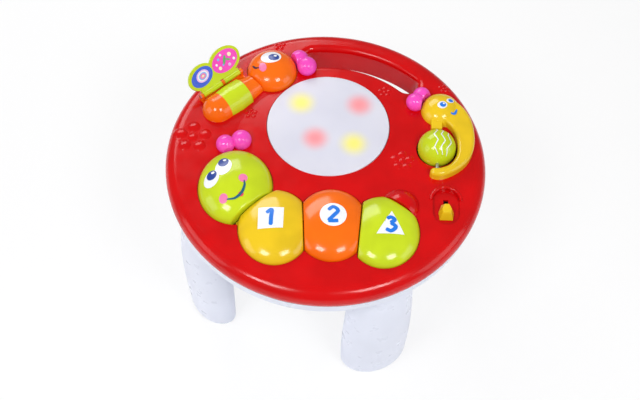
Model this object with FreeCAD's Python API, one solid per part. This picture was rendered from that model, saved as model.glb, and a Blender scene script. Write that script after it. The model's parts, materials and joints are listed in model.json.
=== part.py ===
"""Toddler's musical activity table: a round two-part shell on four snap-in legs.

Frame: origin on the floor below the middle of the deck, +Z up, the three keys towards -Y.
All sizes are millimetres. One STEP file is written for each piece.
"""
import FreeCAD
import Part
import math
import os

V = FreeCAD.Vector
UP = V(0, 0, 1)

# Driving dimensions of the table
TABLE_R = 165.0
DECK_Z = 208.0
CROWN_H = 2.0
CROWN_R = 98.0
BULL_R = 13.0
WALL = 2.5
TOP_SHELL_H = 22.0
BODY_H = 35.0
SHELL_INSET = 3.0
FOOT_ROUND = 4.0
RUN_GAP = 0.6
SEAT_GAP = 0.3

# Levels that the pieces share
CEILING_Z = DECK_Z - WALL
PART_Z = DECK_Z - TOP_SHELL_H
BASE_Z = DECK_Z - BODY_H
FLOOR_Z = BASE_Z + WALL
BULL_MID_R = TABLE_R - BULL_R
BASE_R = TABLE_R - SHELL_INSET
UNDER_ALL = 150.0
OVER_ALL = 260.0

# Handle slot, measured clockwise from the back
SLOT_IN_R = 118.0
SLOT_OUT_R = 141.0
SLOT_END_ROOM = 7.37
SLOT_TO = 40.5
SLOT_EDGE = 6.0
SKIRT_H = 33.0

# Drum pad and its lamp board
PAD_X, PAD_Y, PAD_R = 1.0, 38.0, 63.6
PAD_CROWN = 1.2
LAMP_BOARD_Z = 193.0
LAMP_BOARD_R = 59.0
LAMPS_RED = ((33.0, 65.0), (-12.0, 20.0))
LAMPS_YELLOW = ((-28.0, 65.0), (28.0, 15.0))

# Buttons: middle, half width, half length, height of each dome
KEY_DOMES = ((-48.0, -87.5, 36.5, 42.5, 16.0), (8.0, -83.0, 36.5, 41.0, 16.0),
             (59.0, -88.5, 36.0, 40.5, 16.0))
WORM_HEAD = (-90.0, -43.0, 37.5, 43.0, 22.0)
BEE_HEAD = (-61.0, 106.2, 26.5, 26.5, 18.0)
FLANGE_W = 2.2
FLANGE_T = 1.5
FLANGE_GAP = 0.2
FLANGE_ROOM = 1.0
DOME_SINK = 0.6
BUTTON_WALL = 2.0
PLUNGER_R = 2.6
KEY_SPLIT_LEFT = ((-22.0, -57.0), (-18.0, -115.0))
KEY_SPLIT_RIGHT = ((38.0, -57.0), (34.0, -115.0))
KEY_DIAGONAL = ((58.0, -48.0), (93.0, -72.0))
HEAD_SPLIT = ((-47.6, -45.0), (-83.8, -79.2))
SPLIT_GAP = RUN_GAP * 0.75
PLUNGERS = ((-50.0, -80.0), (8.0, -80.0), (60.0, -82.0))
HEAD_PLUNGER = (-88.0, -38.0)
BEE_PLUNGER = (-61.0, 106.0)

# Antenna balls: place, height of the middle over the deck, radius
WORM_BALLS = ((-103.5, 7.0, 4.0, 9.7), (-87.5, 12.5, 4.0, 10.4))
BEE_BALLS = ((-24.0, 111.0, 6.0, 10.4), (-32.5, 121.0, 5.0, 9.8))
SNAIL_BALLS = ((92.0, 69.5, 5.0, 9.8), (98.5, 78.5, 4.0, 9.4))

# Boards and silicone domes under the buttons
BOARD_Z = 187.4
BOARD_T = 1.6
DOME_H = 5.2
DOME_R = 4.6
PLUNGER_LOW = BOARD_Z + BOARD_T + DOME_H

# Snail with its spinning ball; its curl is drawn through a few places on each side
SNAIL_OUTER = ((128.0, 74.0), (142.0, 62.0), (149.5, 47.0), (152.3, 30.0), (151.3, 13.0), (146.5, -1.0),
               (138.0, -12.0), (127.0, -20.0), (117.0, -24.0), (110.0, -23.5))
SNAIL_INNER = ((110.0, -14.8), (118.0, -13.8), (126.5, -9.0), (132.5, 0.5), (134.5, 12.0), (133.0, 26.0),
               (128.0, 38.0), (118.0, 46.0))
SNAIL_HEAD = (118.5, 62.0, 20.5, 15.0)
BALL_X, BALL_Y, BALL_R = 113.5, 12.5, 19.7
AXLE_Z = DECK_Z + 3.0
AXLE_R = 2.0
AXLE_FROM_Y = -17.5
AXLE_TO_Y = 40.0
RUN_FIT = 0.06

# Bee body, from its tail towards its head, with the wing hinge beside it
BEE_TAIL = (-115.0, 53.0)
BEE_DIR = (0.727, 0.687)
BEE_SIDE = (-0.687, 0.727)
TAIL_R = 16.2
BAND_R = 17.0
NECK_R = 13.0
BAND_FROM, BAND_TO = 7.0, 35.0
HINGE_SIDE = 20.5
HINGE_UP = 7.0
HINGE_PIN_R = 1.5
WING_TILT = 42.0
WING_T = 3.0
LUGS = ((-6.0, -3.0), (22.0, 25.0), (46.0, 49.0))
WING_BARRELS = ((-2.6, 21.6), (25.4, 45.6))
WING_LOBES = ((6.0, 17.0, 17.0, 12.5, 12.0), (37.0, 18.5, 19.5, 14.0, 8.0))
LOBE_RIM = 3.2
INLAY_DEPTH = 0.8

# Mode switch in its dish
DISH_X, DISH_BACK_Y, DISH_FRONT_Y, DISH_R = 122.0, -48.0, -63.0, 13.5
DISH_DEPTH = 4.0
KNOB_TRAVEL = 12.0
SWITCH_TOP = CEILING_Z - DISH_DEPTH - 0.6

# Raised flowers: middle, petal radius, petal spread, turn
FLOWERS = ((-138.0, 17.0, 6.6, 13.0, 90), (78.0, -3.0, 4.2, 8.0, 90), (-80.0, 50.0, 2.5, 4.8, 90),
           (60.0, 85.0, 2.5, 4.8, 90), (-55.0, 143.0, 2.5, 4.6, 90), (124.0, 93.0, 2.4, 4.4, 90))

# Raised dome behind the third key
TAIL_DOME_X, TAIL_DOME_Y, TAIL_DOME_R, TAIL_DOME_H = 76.0, -57.0, 19.0, 12.0

# Legs
LEG_TURNS = (27.0, 117.0, 207.0, 297.0)
LEG_FLAT_R = 121.0
LEG_SPLIT = 8.0
LEG_WALL = 2.4
LEG_CORNER = 11.0
FOOT_EDGE = 9.0
LEG_RINGS = ((0.0, 37.5, 38.5), (60.0, 38.5, 42.0), (118.0, 36.0, 42.5), (BASE_Z, 32.0, 36.5))
LEG_SCREW_ZS = (45.0, 125.0)
PLUG_R = 137.0
PLUG_L, PLUG_W, PLUG_H = 40.0, 22.0, 10.8

# Battery box
CELL_R, CELL_L = 7.1, 50.2
BATTERY_Y = 20.0
BATTERY_L, BATTERY_W, BATTERY_H = 58.0, 47.0, 18.0
DOOR_T = 2.2

# Housing screws
SCREW_RING_R = 149.0
SCREW_TURNS = (-2.0, 38.0, 88.0, 128.0, 178.0, 218.0, 268.0, 308.0)
SCREW_R, SCREW_HEAD_R, SCREW_HEAD_H = 1.5, 2.9, 2.0

SPEAKER_X, SPEAKER_Y, SPEAKER_R = -88.0, 25.0, 25.0

# Posts on the floor that carry the boards
LAMP_POSTS = ((36.0, 75.0), (-34.0, 75.0), (-36.0, -2.0), (38.0, -2.0))
KEY_POSTS = ((-58.0, -73.0), (-20.0, -87.0), (22.0, -87.0), (68.0, -73.0))
HEAD_POSTS = ((-97.0, -32.0), (-79.0, -32.0))
BEE_POSTS = ((-69.0, 111.0), (-51.0, 111.0))
MAIN_POSTS = ((40.0, 16.0), (80.0, 16.0), (40.0, 56.0), (80.0, 56.0))

os.makedirs("parts", exist_ok=True)


def slot_start():
    """Turn at which the grip slot starts, a fixed room away from the bee's nearer antenna."""
    x, y, _, _ = BEE_BALLS[0]
    middle = (SLOT_IN_R + SLOT_OUT_R) / 2
    reach = math.hypot(x, y)
    apart = (SLOT_OUT_R - SLOT_IN_R) / 2 + SLOT_END_ROOM
    between = math.acos((middle ** 2 + reach ** 2 - apart ** 2) / (2 * middle * reach))
    return math.degrees(math.atan2(x, y) + between)


SLOT_FROM = slot_start()


def save(shape, name):
    shape.exportStep("parts/" + name + ".step")


def deck_z(x, y):
    r = math.hypot(x, y)
    if r < CROWN_R:
        return DECK_Z + CROWN_H * (1 - (r / CROWN_R) ** 2)
    if r < BULL_MID_R:
        return DECK_Z
    return DECK_Z - BULL_R + math.sqrt(BULL_R ** 2 - (r - BULL_MID_R) ** 2)


def cyl(x, y, z0, z1, r):
    return Part.makeCylinder(r, z1 - z0, V(x, y, z0), UP)


def box(x0, x1, y0, y1, z0, z1):
    return Part.makeBox(x1 - x0, y1 - y0, z1 - z0, V(x0, y0, z0))


def ball(x, y, z, r):
    return Part.makeSphere(r, V(x, y, z))


def fuse(shapes):
    first = shapes[0]
    return first.fuse(shapes[1:]) if len(shapes) > 1 else first


def compound(shapes):
    return Part.makeCompound(shapes)


def clean(shape):
    """Joins faces that continue one another and keeps the single solid where there is one."""
    shape = shape.removeSplitter()
    if len(shape.Solids) == 1:
        return shape.Solids[0]
    return shape


def revolve(points):
    """Solid of revolution about the table's axis; a middle point in brackets makes an arc."""
    edges = []
    here = points[0]
    for step in points[1:]:
        if len(step) == 4:
            middle = V(step[0], 0, step[1])
            end = (step[2], step[3])
            edges.append(Part.Arc(V(here[0], 0, here[1]), middle, V(end[0], 0, end[1])).toShape())
        else:
            end = step
            edges.append(Part.makeLine(V(here[0], 0, here[1]), V(end[0], 0, end[1])))
        here = end
    face = Part.Face(Part.Wire(edges))
    return face.revolve(V(0, 0, 0), UP, 360)


def clockwise(radius, turn, z=0.0):
    a = math.radians(turn)
    return V(radius * math.sin(a), radius * math.cos(a), z)


def slot_prism(grow, z0, z1):
    """Curved slot with round ends, grown evenly by a wall or a gap."""
    inner, outer = SLOT_IN_R - grow, SLOT_OUT_R + grow
    middle = (inner + outer) / 2
    half = (outer - inner) / 2
    turn = (SLOT_FROM + SLOT_TO) / 2
    a = Part.Arc(clockwise(inner, SLOT_FROM, z0), clockwise(inner, turn, z0), clockwise(inner, SLOT_TO, z0))
    b_mid = clockwise(middle, SLOT_TO, z0) + clockwise(half, SLOT_TO + 90)
    b = Part.Arc(clockwise(inner, SLOT_TO, z0), b_mid, clockwise(outer, SLOT_TO, z0))
    c = Part.Arc(clockwise(outer, SLOT_TO, z0), clockwise(outer, turn, z0), clockwise(outer, SLOT_FROM, z0))
    d_mid = clockwise(middle, SLOT_FROM, z0) - clockwise(half, SLOT_FROM + 90)
    d = Part.Arc(clockwise(outer, SLOT_FROM, z0), d_mid, clockwise(inner, SLOT_FROM, z0))
    face = Part.Face(Part.Wire([e.toShape() for e in (a, b, c, d)]))
    return face.extrude(V(0, 0, z1 - z0))


def oval_prism(x, y, a, b, z0, z1):
    """Upright prism on an oval; the longer half axis lies along Y."""
    if abs(a - b) < 1e-6:
        return cyl(x, y, z0, z1, a)
    oval = Part.Ellipse(V(x, y + b, z0), V(x + a, y, z0), V(x, y, z0))
    return Part.Face(Part.Wire([oval.toShape()])).extrude(V(0, 0, z1 - z0))


def oval_dome(x, y, z, a, b, h):
    """Upper half of an oval ball with its widest section at z."""
    half = Part.makeSphere(1.0, V(0, 0, 0), UP, 0, 90, 360)
    grow = FreeCAD.Matrix()
    grow.scale(a, b, h)
    half = half.transformGeometry(grow)
    half.translate(V(x, y, z))
    return half


def half_plane(line, keep_right, shift):
    """Big block on one side of a plan line, moved away from the line by shift."""
    (x0, y0), (x1, y1) = line
    along = V(x1 - x0, y1 - y0, 0)
    along.normalize()
    side = V(-along.y, along.x, 0) if not keep_right else V(along.y, -along.x, 0)
    mid = V((x0 + x1) / 2, (y0 + y1) / 2, 0) + side * shift
    far = 300.0
    corners = [mid + along * far, mid + (along + side) * far, mid + (side - along) * far, mid - along * far]
    low = 100.0
    for c in corners:
        c.z = low
    wire = Part.makePolygon(corners + [corners[0]])
    return Part.Face(wire).extrude(V(0, 0, 200))


def key_sides(index, gap):
    """Blocks that bound a key in plan: the split lines beside it, each with its half gap."""
    if index == 0:
        return [half_plane(KEY_SPLIT_LEFT, True, gap), half_plane(HEAD_SPLIT, False, gap)]
    if index == 1:
        return [half_plane(KEY_SPLIT_LEFT, False, gap), half_plane(KEY_SPLIT_RIGHT, True, gap)]
    return [half_plane(KEY_SPLIT_RIGHT, False, gap), half_plane(KEY_DIAGONAL, True, gap)]


def key_prism(index, grow, side_gap, z0, z1):
    x, y, a, b, _ = KEY_DOMES[index]
    shape = oval_prism(x, y, a + grow, b + grow, z0, z1)
    for block in key_sides(index, side_gap):
        shape = shape.common(block)
    return shape


def button_dome(dome, bounds, plunger):
    """Hollow button: domed cap, skirt through the deck, retaining flange and plunger."""
    x, y, a, b, h = dome
    root = deck_z(x, y) - DOME_SINK
    flange_top = CEILING_Z - FLANGE_GAP
    skirt_end = flange_top - FLANGE_T
    outer = oval_prism(x, y, a, b, skirt_end, root).fuse(oval_dome(x, y, root, a, b, h))
    t = BUTTON_WALL
    inner = oval_prism(x, y, a - t, b - t, skirt_end, root).fuse(oval_dome(x, y, root, a - t, b - t, h - t))
    flange = oval_prism(x, y, a + FLANGE_W, b + FLANGE_W, skirt_end, flange_top)
    flange_hole = oval_prism(x, y, a - t, b - t, skirt_end, flange_top)
    flange = flange.cut(flange_hole)
    for block, wall_block in bounds:
        outer = outer.common(block)
        inner = inner.common(wall_block)
        flange = flange.common(block)
    outer = soften(outer, skirt_end)
    shell = outer.cut(inner).fuse(flange)
    px, py = plunger
    stem = cyl(px, py, PLUNGER_LOW, root + h, PLUNGER_R)
    stem = stem.common(outer.fuse(cyl(px, py, PLUNGER_LOW, skirt_end + 1, PLUNGER_R)))
    return clean(shell.fuse(stem))


def soften(shape, skirt_end):
    """Rounds the edges where a split line cuts the dome, where the geometry allows."""
    edges = []
    for e in shape.Edges:
        b = e.BoundBox
        if b.ZMax > DECK_Z + 6 and b.ZMin > skirt_end + 2 and b.ZLength > 3:
            edges.append(e)
    for radius in (2.5, 1.5, 0.8):
        try:
            done = shape.makeFillet(radius, edges)
            if done.isValid() and done.Volume > 0.9 * shape.Volume:
                return done
        except Exception:
            continue
    return shape


def make_keys():
    keys = []
    for i in range(3):
        bounds = list(zip(key_sides(i, SPLIT_GAP), key_sides(i, SPLIT_GAP + BUTTON_WALL)))
        keys.append(button_dome(KEY_DOMES[i], bounds, PLUNGERS[i]))
    return keys


def make_worm_head():
    """Worm's head: its near side is cut straight along the first key."""
    side = half_plane(HEAD_SPLIT, True, SPLIT_GAP)
    wall_side = half_plane(HEAD_SPLIT, True, SPLIT_GAP + BUTTON_WALL)
    return button_dome(WORM_HEAD, [(side, wall_side)], HEAD_PLUNGER)


def make_bee_head():
    """Bee's head: its flange is trimmed where the drum pad comes close."""
    head = button_dome(BEE_HEAD, [], BEE_PLUNGER)
    return clean(head.cut(cyl(PAD_X, PAD_Y, UNDER_ALL, CEILING_Z, PAD_R + RUN_GAP + SEAT_GAP)))


def antenna_pair(balls):
    """Two joined balls that rise through the deck from a flange under it."""
    parts = []
    for x, y, up, r in balls:
        foot = math.sqrt(r * r - up * up)
        nearer = 1 - foot / math.hypot(x, y)
        z = deck_z(x * nearer, y * nearer)
        cap = ball(x, y, z + up, r).common(cyl(x, y, z - 0.5, z + 40, r + 1))
        parts.append(cap)
        parts.append(cyl(x, y, CEILING_Z - 2, z, foot - 0.3))
        parts.append(cyl(x, y, CEILING_Z - 2, CEILING_Z, foot + 1.2))
    return fuse(parts)


def antenna_holes(balls):
    return [cyl(x, y, CEILING_Z - 5, DECK_Z + 5, math.sqrt(r * r - up * up)) for x, y, up, r in balls]


def make_worm_antennae():
    x, y, a, b, _ = WORM_HEAD
    head_room = oval_prism(x, y, a + RUN_GAP, b + RUN_GAP, UNDER_ALL, OVER_ALL)
    pair = antenna_pair(WORM_BALLS).cut(head_room)
    grow = FLANGE_W + FLANGE_ROOM
    return clean(pair.cut(oval_prism(x, y, a + grow, b + grow, UNDER_ALL, CEILING_Z)))


def make_bee_antennae():
    x, y, a, _, _ = BEE_HEAD
    pair = antenna_pair(BEE_BALLS).cut(cyl(x, y, UNDER_ALL, OVER_ALL, a + RUN_GAP))
    pair = pair.cut(cyl(x, y, UNDER_ALL, CEILING_Z, a + FLANGE_W + FLANGE_ROOM))
    return clean(pair.cut(skirt_room()))


def make_snail_antennae():
    x, y, r, _ = SNAIL_HEAD
    pair = antenna_pair(SNAIL_BALLS).cut(cyl(x, y, UNDER_ALL, OVER_ALL, r + SEAT_GAP))
    return clean(pair.cut(skirt_room()))


def skirt_room():
    """Room under the deck for the grip slot's skirt and its rounded root."""
    return slot_prism(SLOT_EDGE + SEAT_GAP, UNDER_ALL, CEILING_Z)


def bee_axis(s, side=0.0, z=0.0):
    x = BEE_TAIL[0] + BEE_DIR[0] * s + BEE_SIDE[0] * side
    y = BEE_TAIL[1] + BEE_DIR[1] * s + BEE_SIDE[1] * side
    return V(x, y, z)


def bee_length():
    return math.hypot(BEE_HEAD[0] - BEE_TAIL[0], BEE_HEAD[1] - BEE_TAIL[1])


def bee_turn():
    return math.degrees(math.atan2(BEE_DIR[1], BEE_DIR[0]))


def bee_barrel(s0, s1, r0, r1):
    """Round length of the body lying on the deck, as a cone whose axis is at deck level."""
    start = bee_axis(s0, 0, DECK_Z)
    along = V(BEE_DIR[0], BEE_DIR[1], 0)
    if abs(r0 - r1) < 1e-6:
        shape = Part.makeCylinder(r0, s1 - s0, start, along)
    else:
        shape = Part.makeCone(r0, r1, s1 - s0, start, along)
    return shape.common(box(-200, 0, 0, 200, DECK_Z, DECK_Z + 60))


def make_bee_body():
    """Orange tail and neck on one tray under the deck, with the two hinge lugs of the wing."""
    tail = ball(BEE_TAIL[0], BEE_TAIL[1], DECK_Z, TAIL_R)
    tail = tail.common(bee_side_plate(-40, BAND_FROM, -40, 40, DECK_Z, DECK_Z + 40))
    tail_end = bee_barrel(0, BAND_FROM, TAIL_R, TAIL_R)
    reach = bee_length() - BEE_HEAD[2] - RUN_GAP - 0.2
    core = bee_barrel(BAND_FROM - 1, BAND_TO + 1, NECK_R - 2, NECK_R - 2)
    neck = bee_barrel(BAND_TO, reach + 8, NECK_R + 1.5, NECK_R - 2)
    body = fuse([tail, tail_end, core, neck])
    stem = bee_barrel_plan(0, reach + 8, NECK_R - 2, CEILING_Z - 2, DECK_Z)
    tray = bee_barrel_plan(-2, reach + 8, NECK_R, CEILING_Z - 2, CEILING_Z)
    body = fuse([body, stem, tray])
    x, y, a, b, _ = BEE_HEAD
    body = body.cut(cyl(x, y, UNDER_ALL, OVER_ALL, a + RUN_GAP + 0.2))
    body = body.cut(cyl(x, y, UNDER_ALL, CEILING_Z, a + FLANGE_W + FLANGE_ROOM))
    return clean(body.fuse(wing_lugs()))


def bee_barrel_plan(s0, s1, half, z0, z1):
    """Upright block with the plan of the bee's body, round at the tail."""
    a, b = bee_axis(s0, -half, z0), bee_axis(s1, -half, z0)
    c, d = bee_axis(s1, half, z0), bee_axis(s0, half, z0)
    block = Part.Face(Part.makePolygon([a, b, c, d, a])).extrude(V(0, 0, z1 - z0))
    end = bee_axis(s0, 0, z0)
    return block.fuse(cyl(end.x, end.y, z0, z1, half))


def make_bee_band():
    core = bee_barrel(BAND_FROM - 2, BAND_TO + 2, NECK_R - 2, NECK_R - 2)
    mid = (BAND_FROM + BAND_TO) / 2
    front = bee_barrel(BAND_FROM + 0.02, mid, TAIL_R - 0.2, BAND_R)
    back = bee_barrel(mid - 0.02, BAND_TO - 0.02, BAND_R, TAIL_R - 0.2)
    return clean(front.fuse(back).cut(core))


def wing_lugs():
    """Lugs that carry the wing's pin, standing on the deck beside the body."""
    parts = []
    for s0, s1 in LUGS:
        foot = [bee_axis(s0, HINGE_SIDE - 3, DECK_Z), bee_axis(s0, HINGE_SIDE + 3, DECK_Z)]
        wall = Part.Face(Part.makePolygon([
            foot[0], foot[1], bee_axis(s0, HINGE_SIDE + 3, DECK_Z + HINGE_UP),
            bee_axis(s0, HINGE_SIDE - 3, DECK_Z + HINGE_UP), foot[0]]))
        along = V(BEE_DIR[0], BEE_DIR[1], 0)
        block = wall.extrude(along * (s1 - s0))
        centre = bee_axis(s0, HINGE_SIDE, DECK_Z + HINGE_UP)
        eye = Part.makeCylinder(3.0, s1 - s0, centre, along)
        bore = Part.makeCylinder(HINGE_PIN_R + 0.05, s1 - s0, centre, along)
        parts.append(block.fuse(eye).cut(bore))
    low, high = DECK_Z, DECK_Z + 1.6
    outside = BAND_R + SEAT_GAP
    base = bee_side_plate(LUGS[0][0], LUGS[-1][1], outside, HINGE_SIDE + 3, low, high)
    tail_foot = bee_side_plate(LUGS[0][0], BAND_FROM - SEAT_GAP, NECK_R - 3, outside + 1, low, high)
    neck_foot = bee_side_plate(BAND_TO + SEAT_GAP, LUGS[-1][1], NECK_R - 3, outside + 1, low, high)
    return fuse(parts + [base, tail_foot, neck_foot])


def bee_side_plate(s0, s1, side0, side1, z0, z1):
    a, b = bee_axis(s0, side0, z0), bee_axis(s1, side0, z0)
    c, d = bee_axis(s1, side1, z0), bee_axis(s0, side1, z0)
    return Part.Face(Part.makePolygon([a, b, c, d, a])).extrude(V(0, 0, z1 - z0))


def wing_frame(shape):
    """Moves a wing piece drawn flat (hinge along X, blade along Y) onto the hinge line, tilted outwards."""
    shape = shape.copy()
    shape.rotate(V(0, 0, 0), V(1, 0, 0), WING_TILT)
    shape.rotate(V(0, 0, 0), UP, bee_turn())
    shape.translate(bee_axis(0, HINGE_SIDE, DECK_Z + HINGE_UP))
    return shape


def lobe_prism(lobe, grow, z0, z1):
    """Rounded wing lobe: an oval turned a little, long side along the hinge."""
    s, w, a, b, turn = lobe
    oval = Part.Ellipse(V(a + grow, 0, 0), V(0, b + grow, 0), V(0, 0, 0))
    shape = Part.Face(Part.Wire([oval.toShape()])).extrude(V(0, 0, z1 - z0))
    shape.rotate(V(0, 0, 0), UP, turn)
    shape.translate(V(s, w, z0))
    return shape


def make_wing():
    """Lime plate with two lobes, a recess for each inlay and two hinge barrels."""
    half = WING_T / 2
    plate = fuse([lobe_prism(lobe, 0, -half, half) for lobe in WING_LOBES])
    root = box(-1.0, 44.0, 3.6, 12, -half, half)
    plate = plate.fuse(root).common(box(-30, 80, 3.6, 60, -half, half))
    for lobe in WING_LOBES:
        plate = plate.cut(lobe_prism(lobe, -LOBE_RIM, half - INLAY_DEPTH, half))
    parts = [plate]
    for s0, s1 in WING_BARRELS:
        parts.append(Part.makeCylinder(3.0, s1 - s0, V(s0, 0, 0), V(1, 0, 0)))
        parts.append(box(s0, s1, 0, 5, -half, half))
    bore = Part.makeCylinder(HINGE_PIN_R + RUN_FIT, 80, V(-20, 0, 0), V(1, 0, 0))
    return wing_frame(clean(fuse(parts).cut(bore)))


def make_wing_inlay(index):
    half = WING_T / 2
    return wing_frame(lobe_prism(WING_LOBES[index], -LOBE_RIM, half - INLAY_DEPTH, half + 0.2))


def make_wing_pin():
    along = V(BEE_DIR[0], BEE_DIR[1], 0)
    start = bee_axis(LUGS[0][0] - 0.62, HINGE_SIDE, DECK_Z + HINGE_UP)
    pin = Part.makeCylinder(HINGE_PIN_R, LUGS[-1][1] - LUGS[0][0] + 0.62, start, along)
    head = Part.makeCylinder(HINGE_PIN_R + 0.8, 0.6, start, along)
    return pin.fuse(head)


def make_snail_body():
    """Yellow head dome and curled body; the axle's bearings are hidden in the body's ends."""
    outer = Part.BSplineCurve()
    outer.interpolate([V(x, y, DECK_Z) for x, y in SNAIL_OUTER])
    inner = Part.BSplineCurve()
    inner.interpolate([V(x, y, DECK_Z) for x, y in SNAIL_INNER])
    tip = Part.Arc(V(SNAIL_OUTER[-1][0], SNAIL_OUTER[-1][1], DECK_Z), V(105.8, -19.2, DECK_Z),
                   V(SNAIL_INNER[0][0], SNAIL_INNER[0][1], DECK_Z))
    close = Part.makeLine(V(SNAIL_INNER[-1][0], SNAIL_INNER[-1][1], DECK_Z),
                          V(SNAIL_OUTER[0][0], SNAIL_OUTER[0][1], DECK_Z))
    wire = Part.Wire([outer.toShape(), tip.toShape(), inner.toShape(), close])
    body = Part.Face(wire).extrude(V(0, 0, 10.5))
    top_edges = [e for e in body.Edges if e.BoundBox.ZMin > DECK_Z + 10]
    for radius in (4.2, 3.0, 2.0):
        try:
            rounded = body.makeFillet(radius, top_edges)
            if rounded.isValid():
                body = rounded
                break
        except Exception:
            continue
    x, y, r, h = SNAIL_HEAD
    head = oval_dome(x, y, DECK_Z, r, r, h)
    saddle = box(108, 119, 35.0, 50, DECK_Z, DECK_Z + 7)
    plate = cyl(x, y, CEILING_Z - 2, DECK_Z, 12)
    plate_flange = cyl(x, y, CEILING_Z - 2, CEILING_Z, 15)
    shape = fuse([body, head, saddle, plate, plate_flange])
    bore = Part.makeCylinder(AXLE_R + RUN_FIT, 70, V(BALL_X, AXLE_FROM_Y - 0.3, AXLE_Z), V(0, 1, 0))
    bore = bore.common(box(90, 140, AXLE_FROM_Y - 0.3, AXLE_TO_Y + 0.3, UNDER_ALL, OVER_ALL))
    shape = shape.cut(bore).cut(cyl(BALL_X, BALL_Y, DECK_Z - 1, DECK_Z + 40, BALL_R + 1.0))
    return clean(shape)


def make_ball():
    bore = Part.makeCylinder(AXLE_R + RUN_FIT, 60, V(BALL_X, BALL_Y - 30, AXLE_Z), V(0, 1, 0))
    inside = ball(BALL_X, BALL_Y, AXLE_Z, BALL_R - 2.2)
    tube = Part.makeCylinder(AXLE_R + 2, 2 * BALL_R - 4, V(BALL_X, BALL_Y - BALL_R + 2, AXLE_Z), V(0, 1, 0))
    shell = ball(BALL_X, BALL_Y, AXLE_Z, BALL_R).cut(inside)
    return clean(shell.fuse(tube).cut(bore))


def make_axle():
    return Part.makeCylinder(AXLE_R, AXLE_TO_Y - AXLE_FROM_Y, V(BALL_X, AXLE_FROM_Y, AXLE_Z), V(0, 1, 0))


def make_ball_well():
    """Cup under the deck that keeps fingers and dirt away from the boards."""
    depth = CEILING_Z - (AXLE_Z - BALL_R) + 2.4
    top = CEILING_Z
    outer = cyl(BALL_X, BALL_Y, top - depth, top, BALL_R + 3.2)
    inner = cyl(BALL_X, BALL_Y, top - depth + 1.4, top, BALL_R + 1.6)
    lip = cyl(BALL_X, BALL_Y, top - 1.4, top, BALL_R + 5.5)
    return outer.fuse(lip).cut(inner)


def flower(x, y, petal, spread, start):
    """Raised flower of five round petals round a middle dome, as shallow caps on the deck."""
    caps = [flower_cap(x, y, petal * 0.8)]
    for i in range(5):
        a = math.radians(start + 72 * i)
        caps.append(flower_cap(x + spread * math.cos(a), y + spread * math.sin(a), petal))
    return caps


def flower_cap(x, y, r):
    rise = 0.30 * r
    ball_r = (r * r + rise * rise) / (2 * rise)
    z = deck_z(x, y)
    turn = math.hypot(x, y)
    lean = 0.0
    if turn > BULL_MID_R:
        lean = math.asin(min(0.9, (turn - BULL_MID_R) / BULL_R))
    back = ball_r - rise
    out = V(x / turn * math.sin(lean), y / turn * math.sin(lean), math.cos(lean))
    centre = V(x, y, z) - out * back
    return Part.makeSphere(ball_r, centre)


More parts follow.
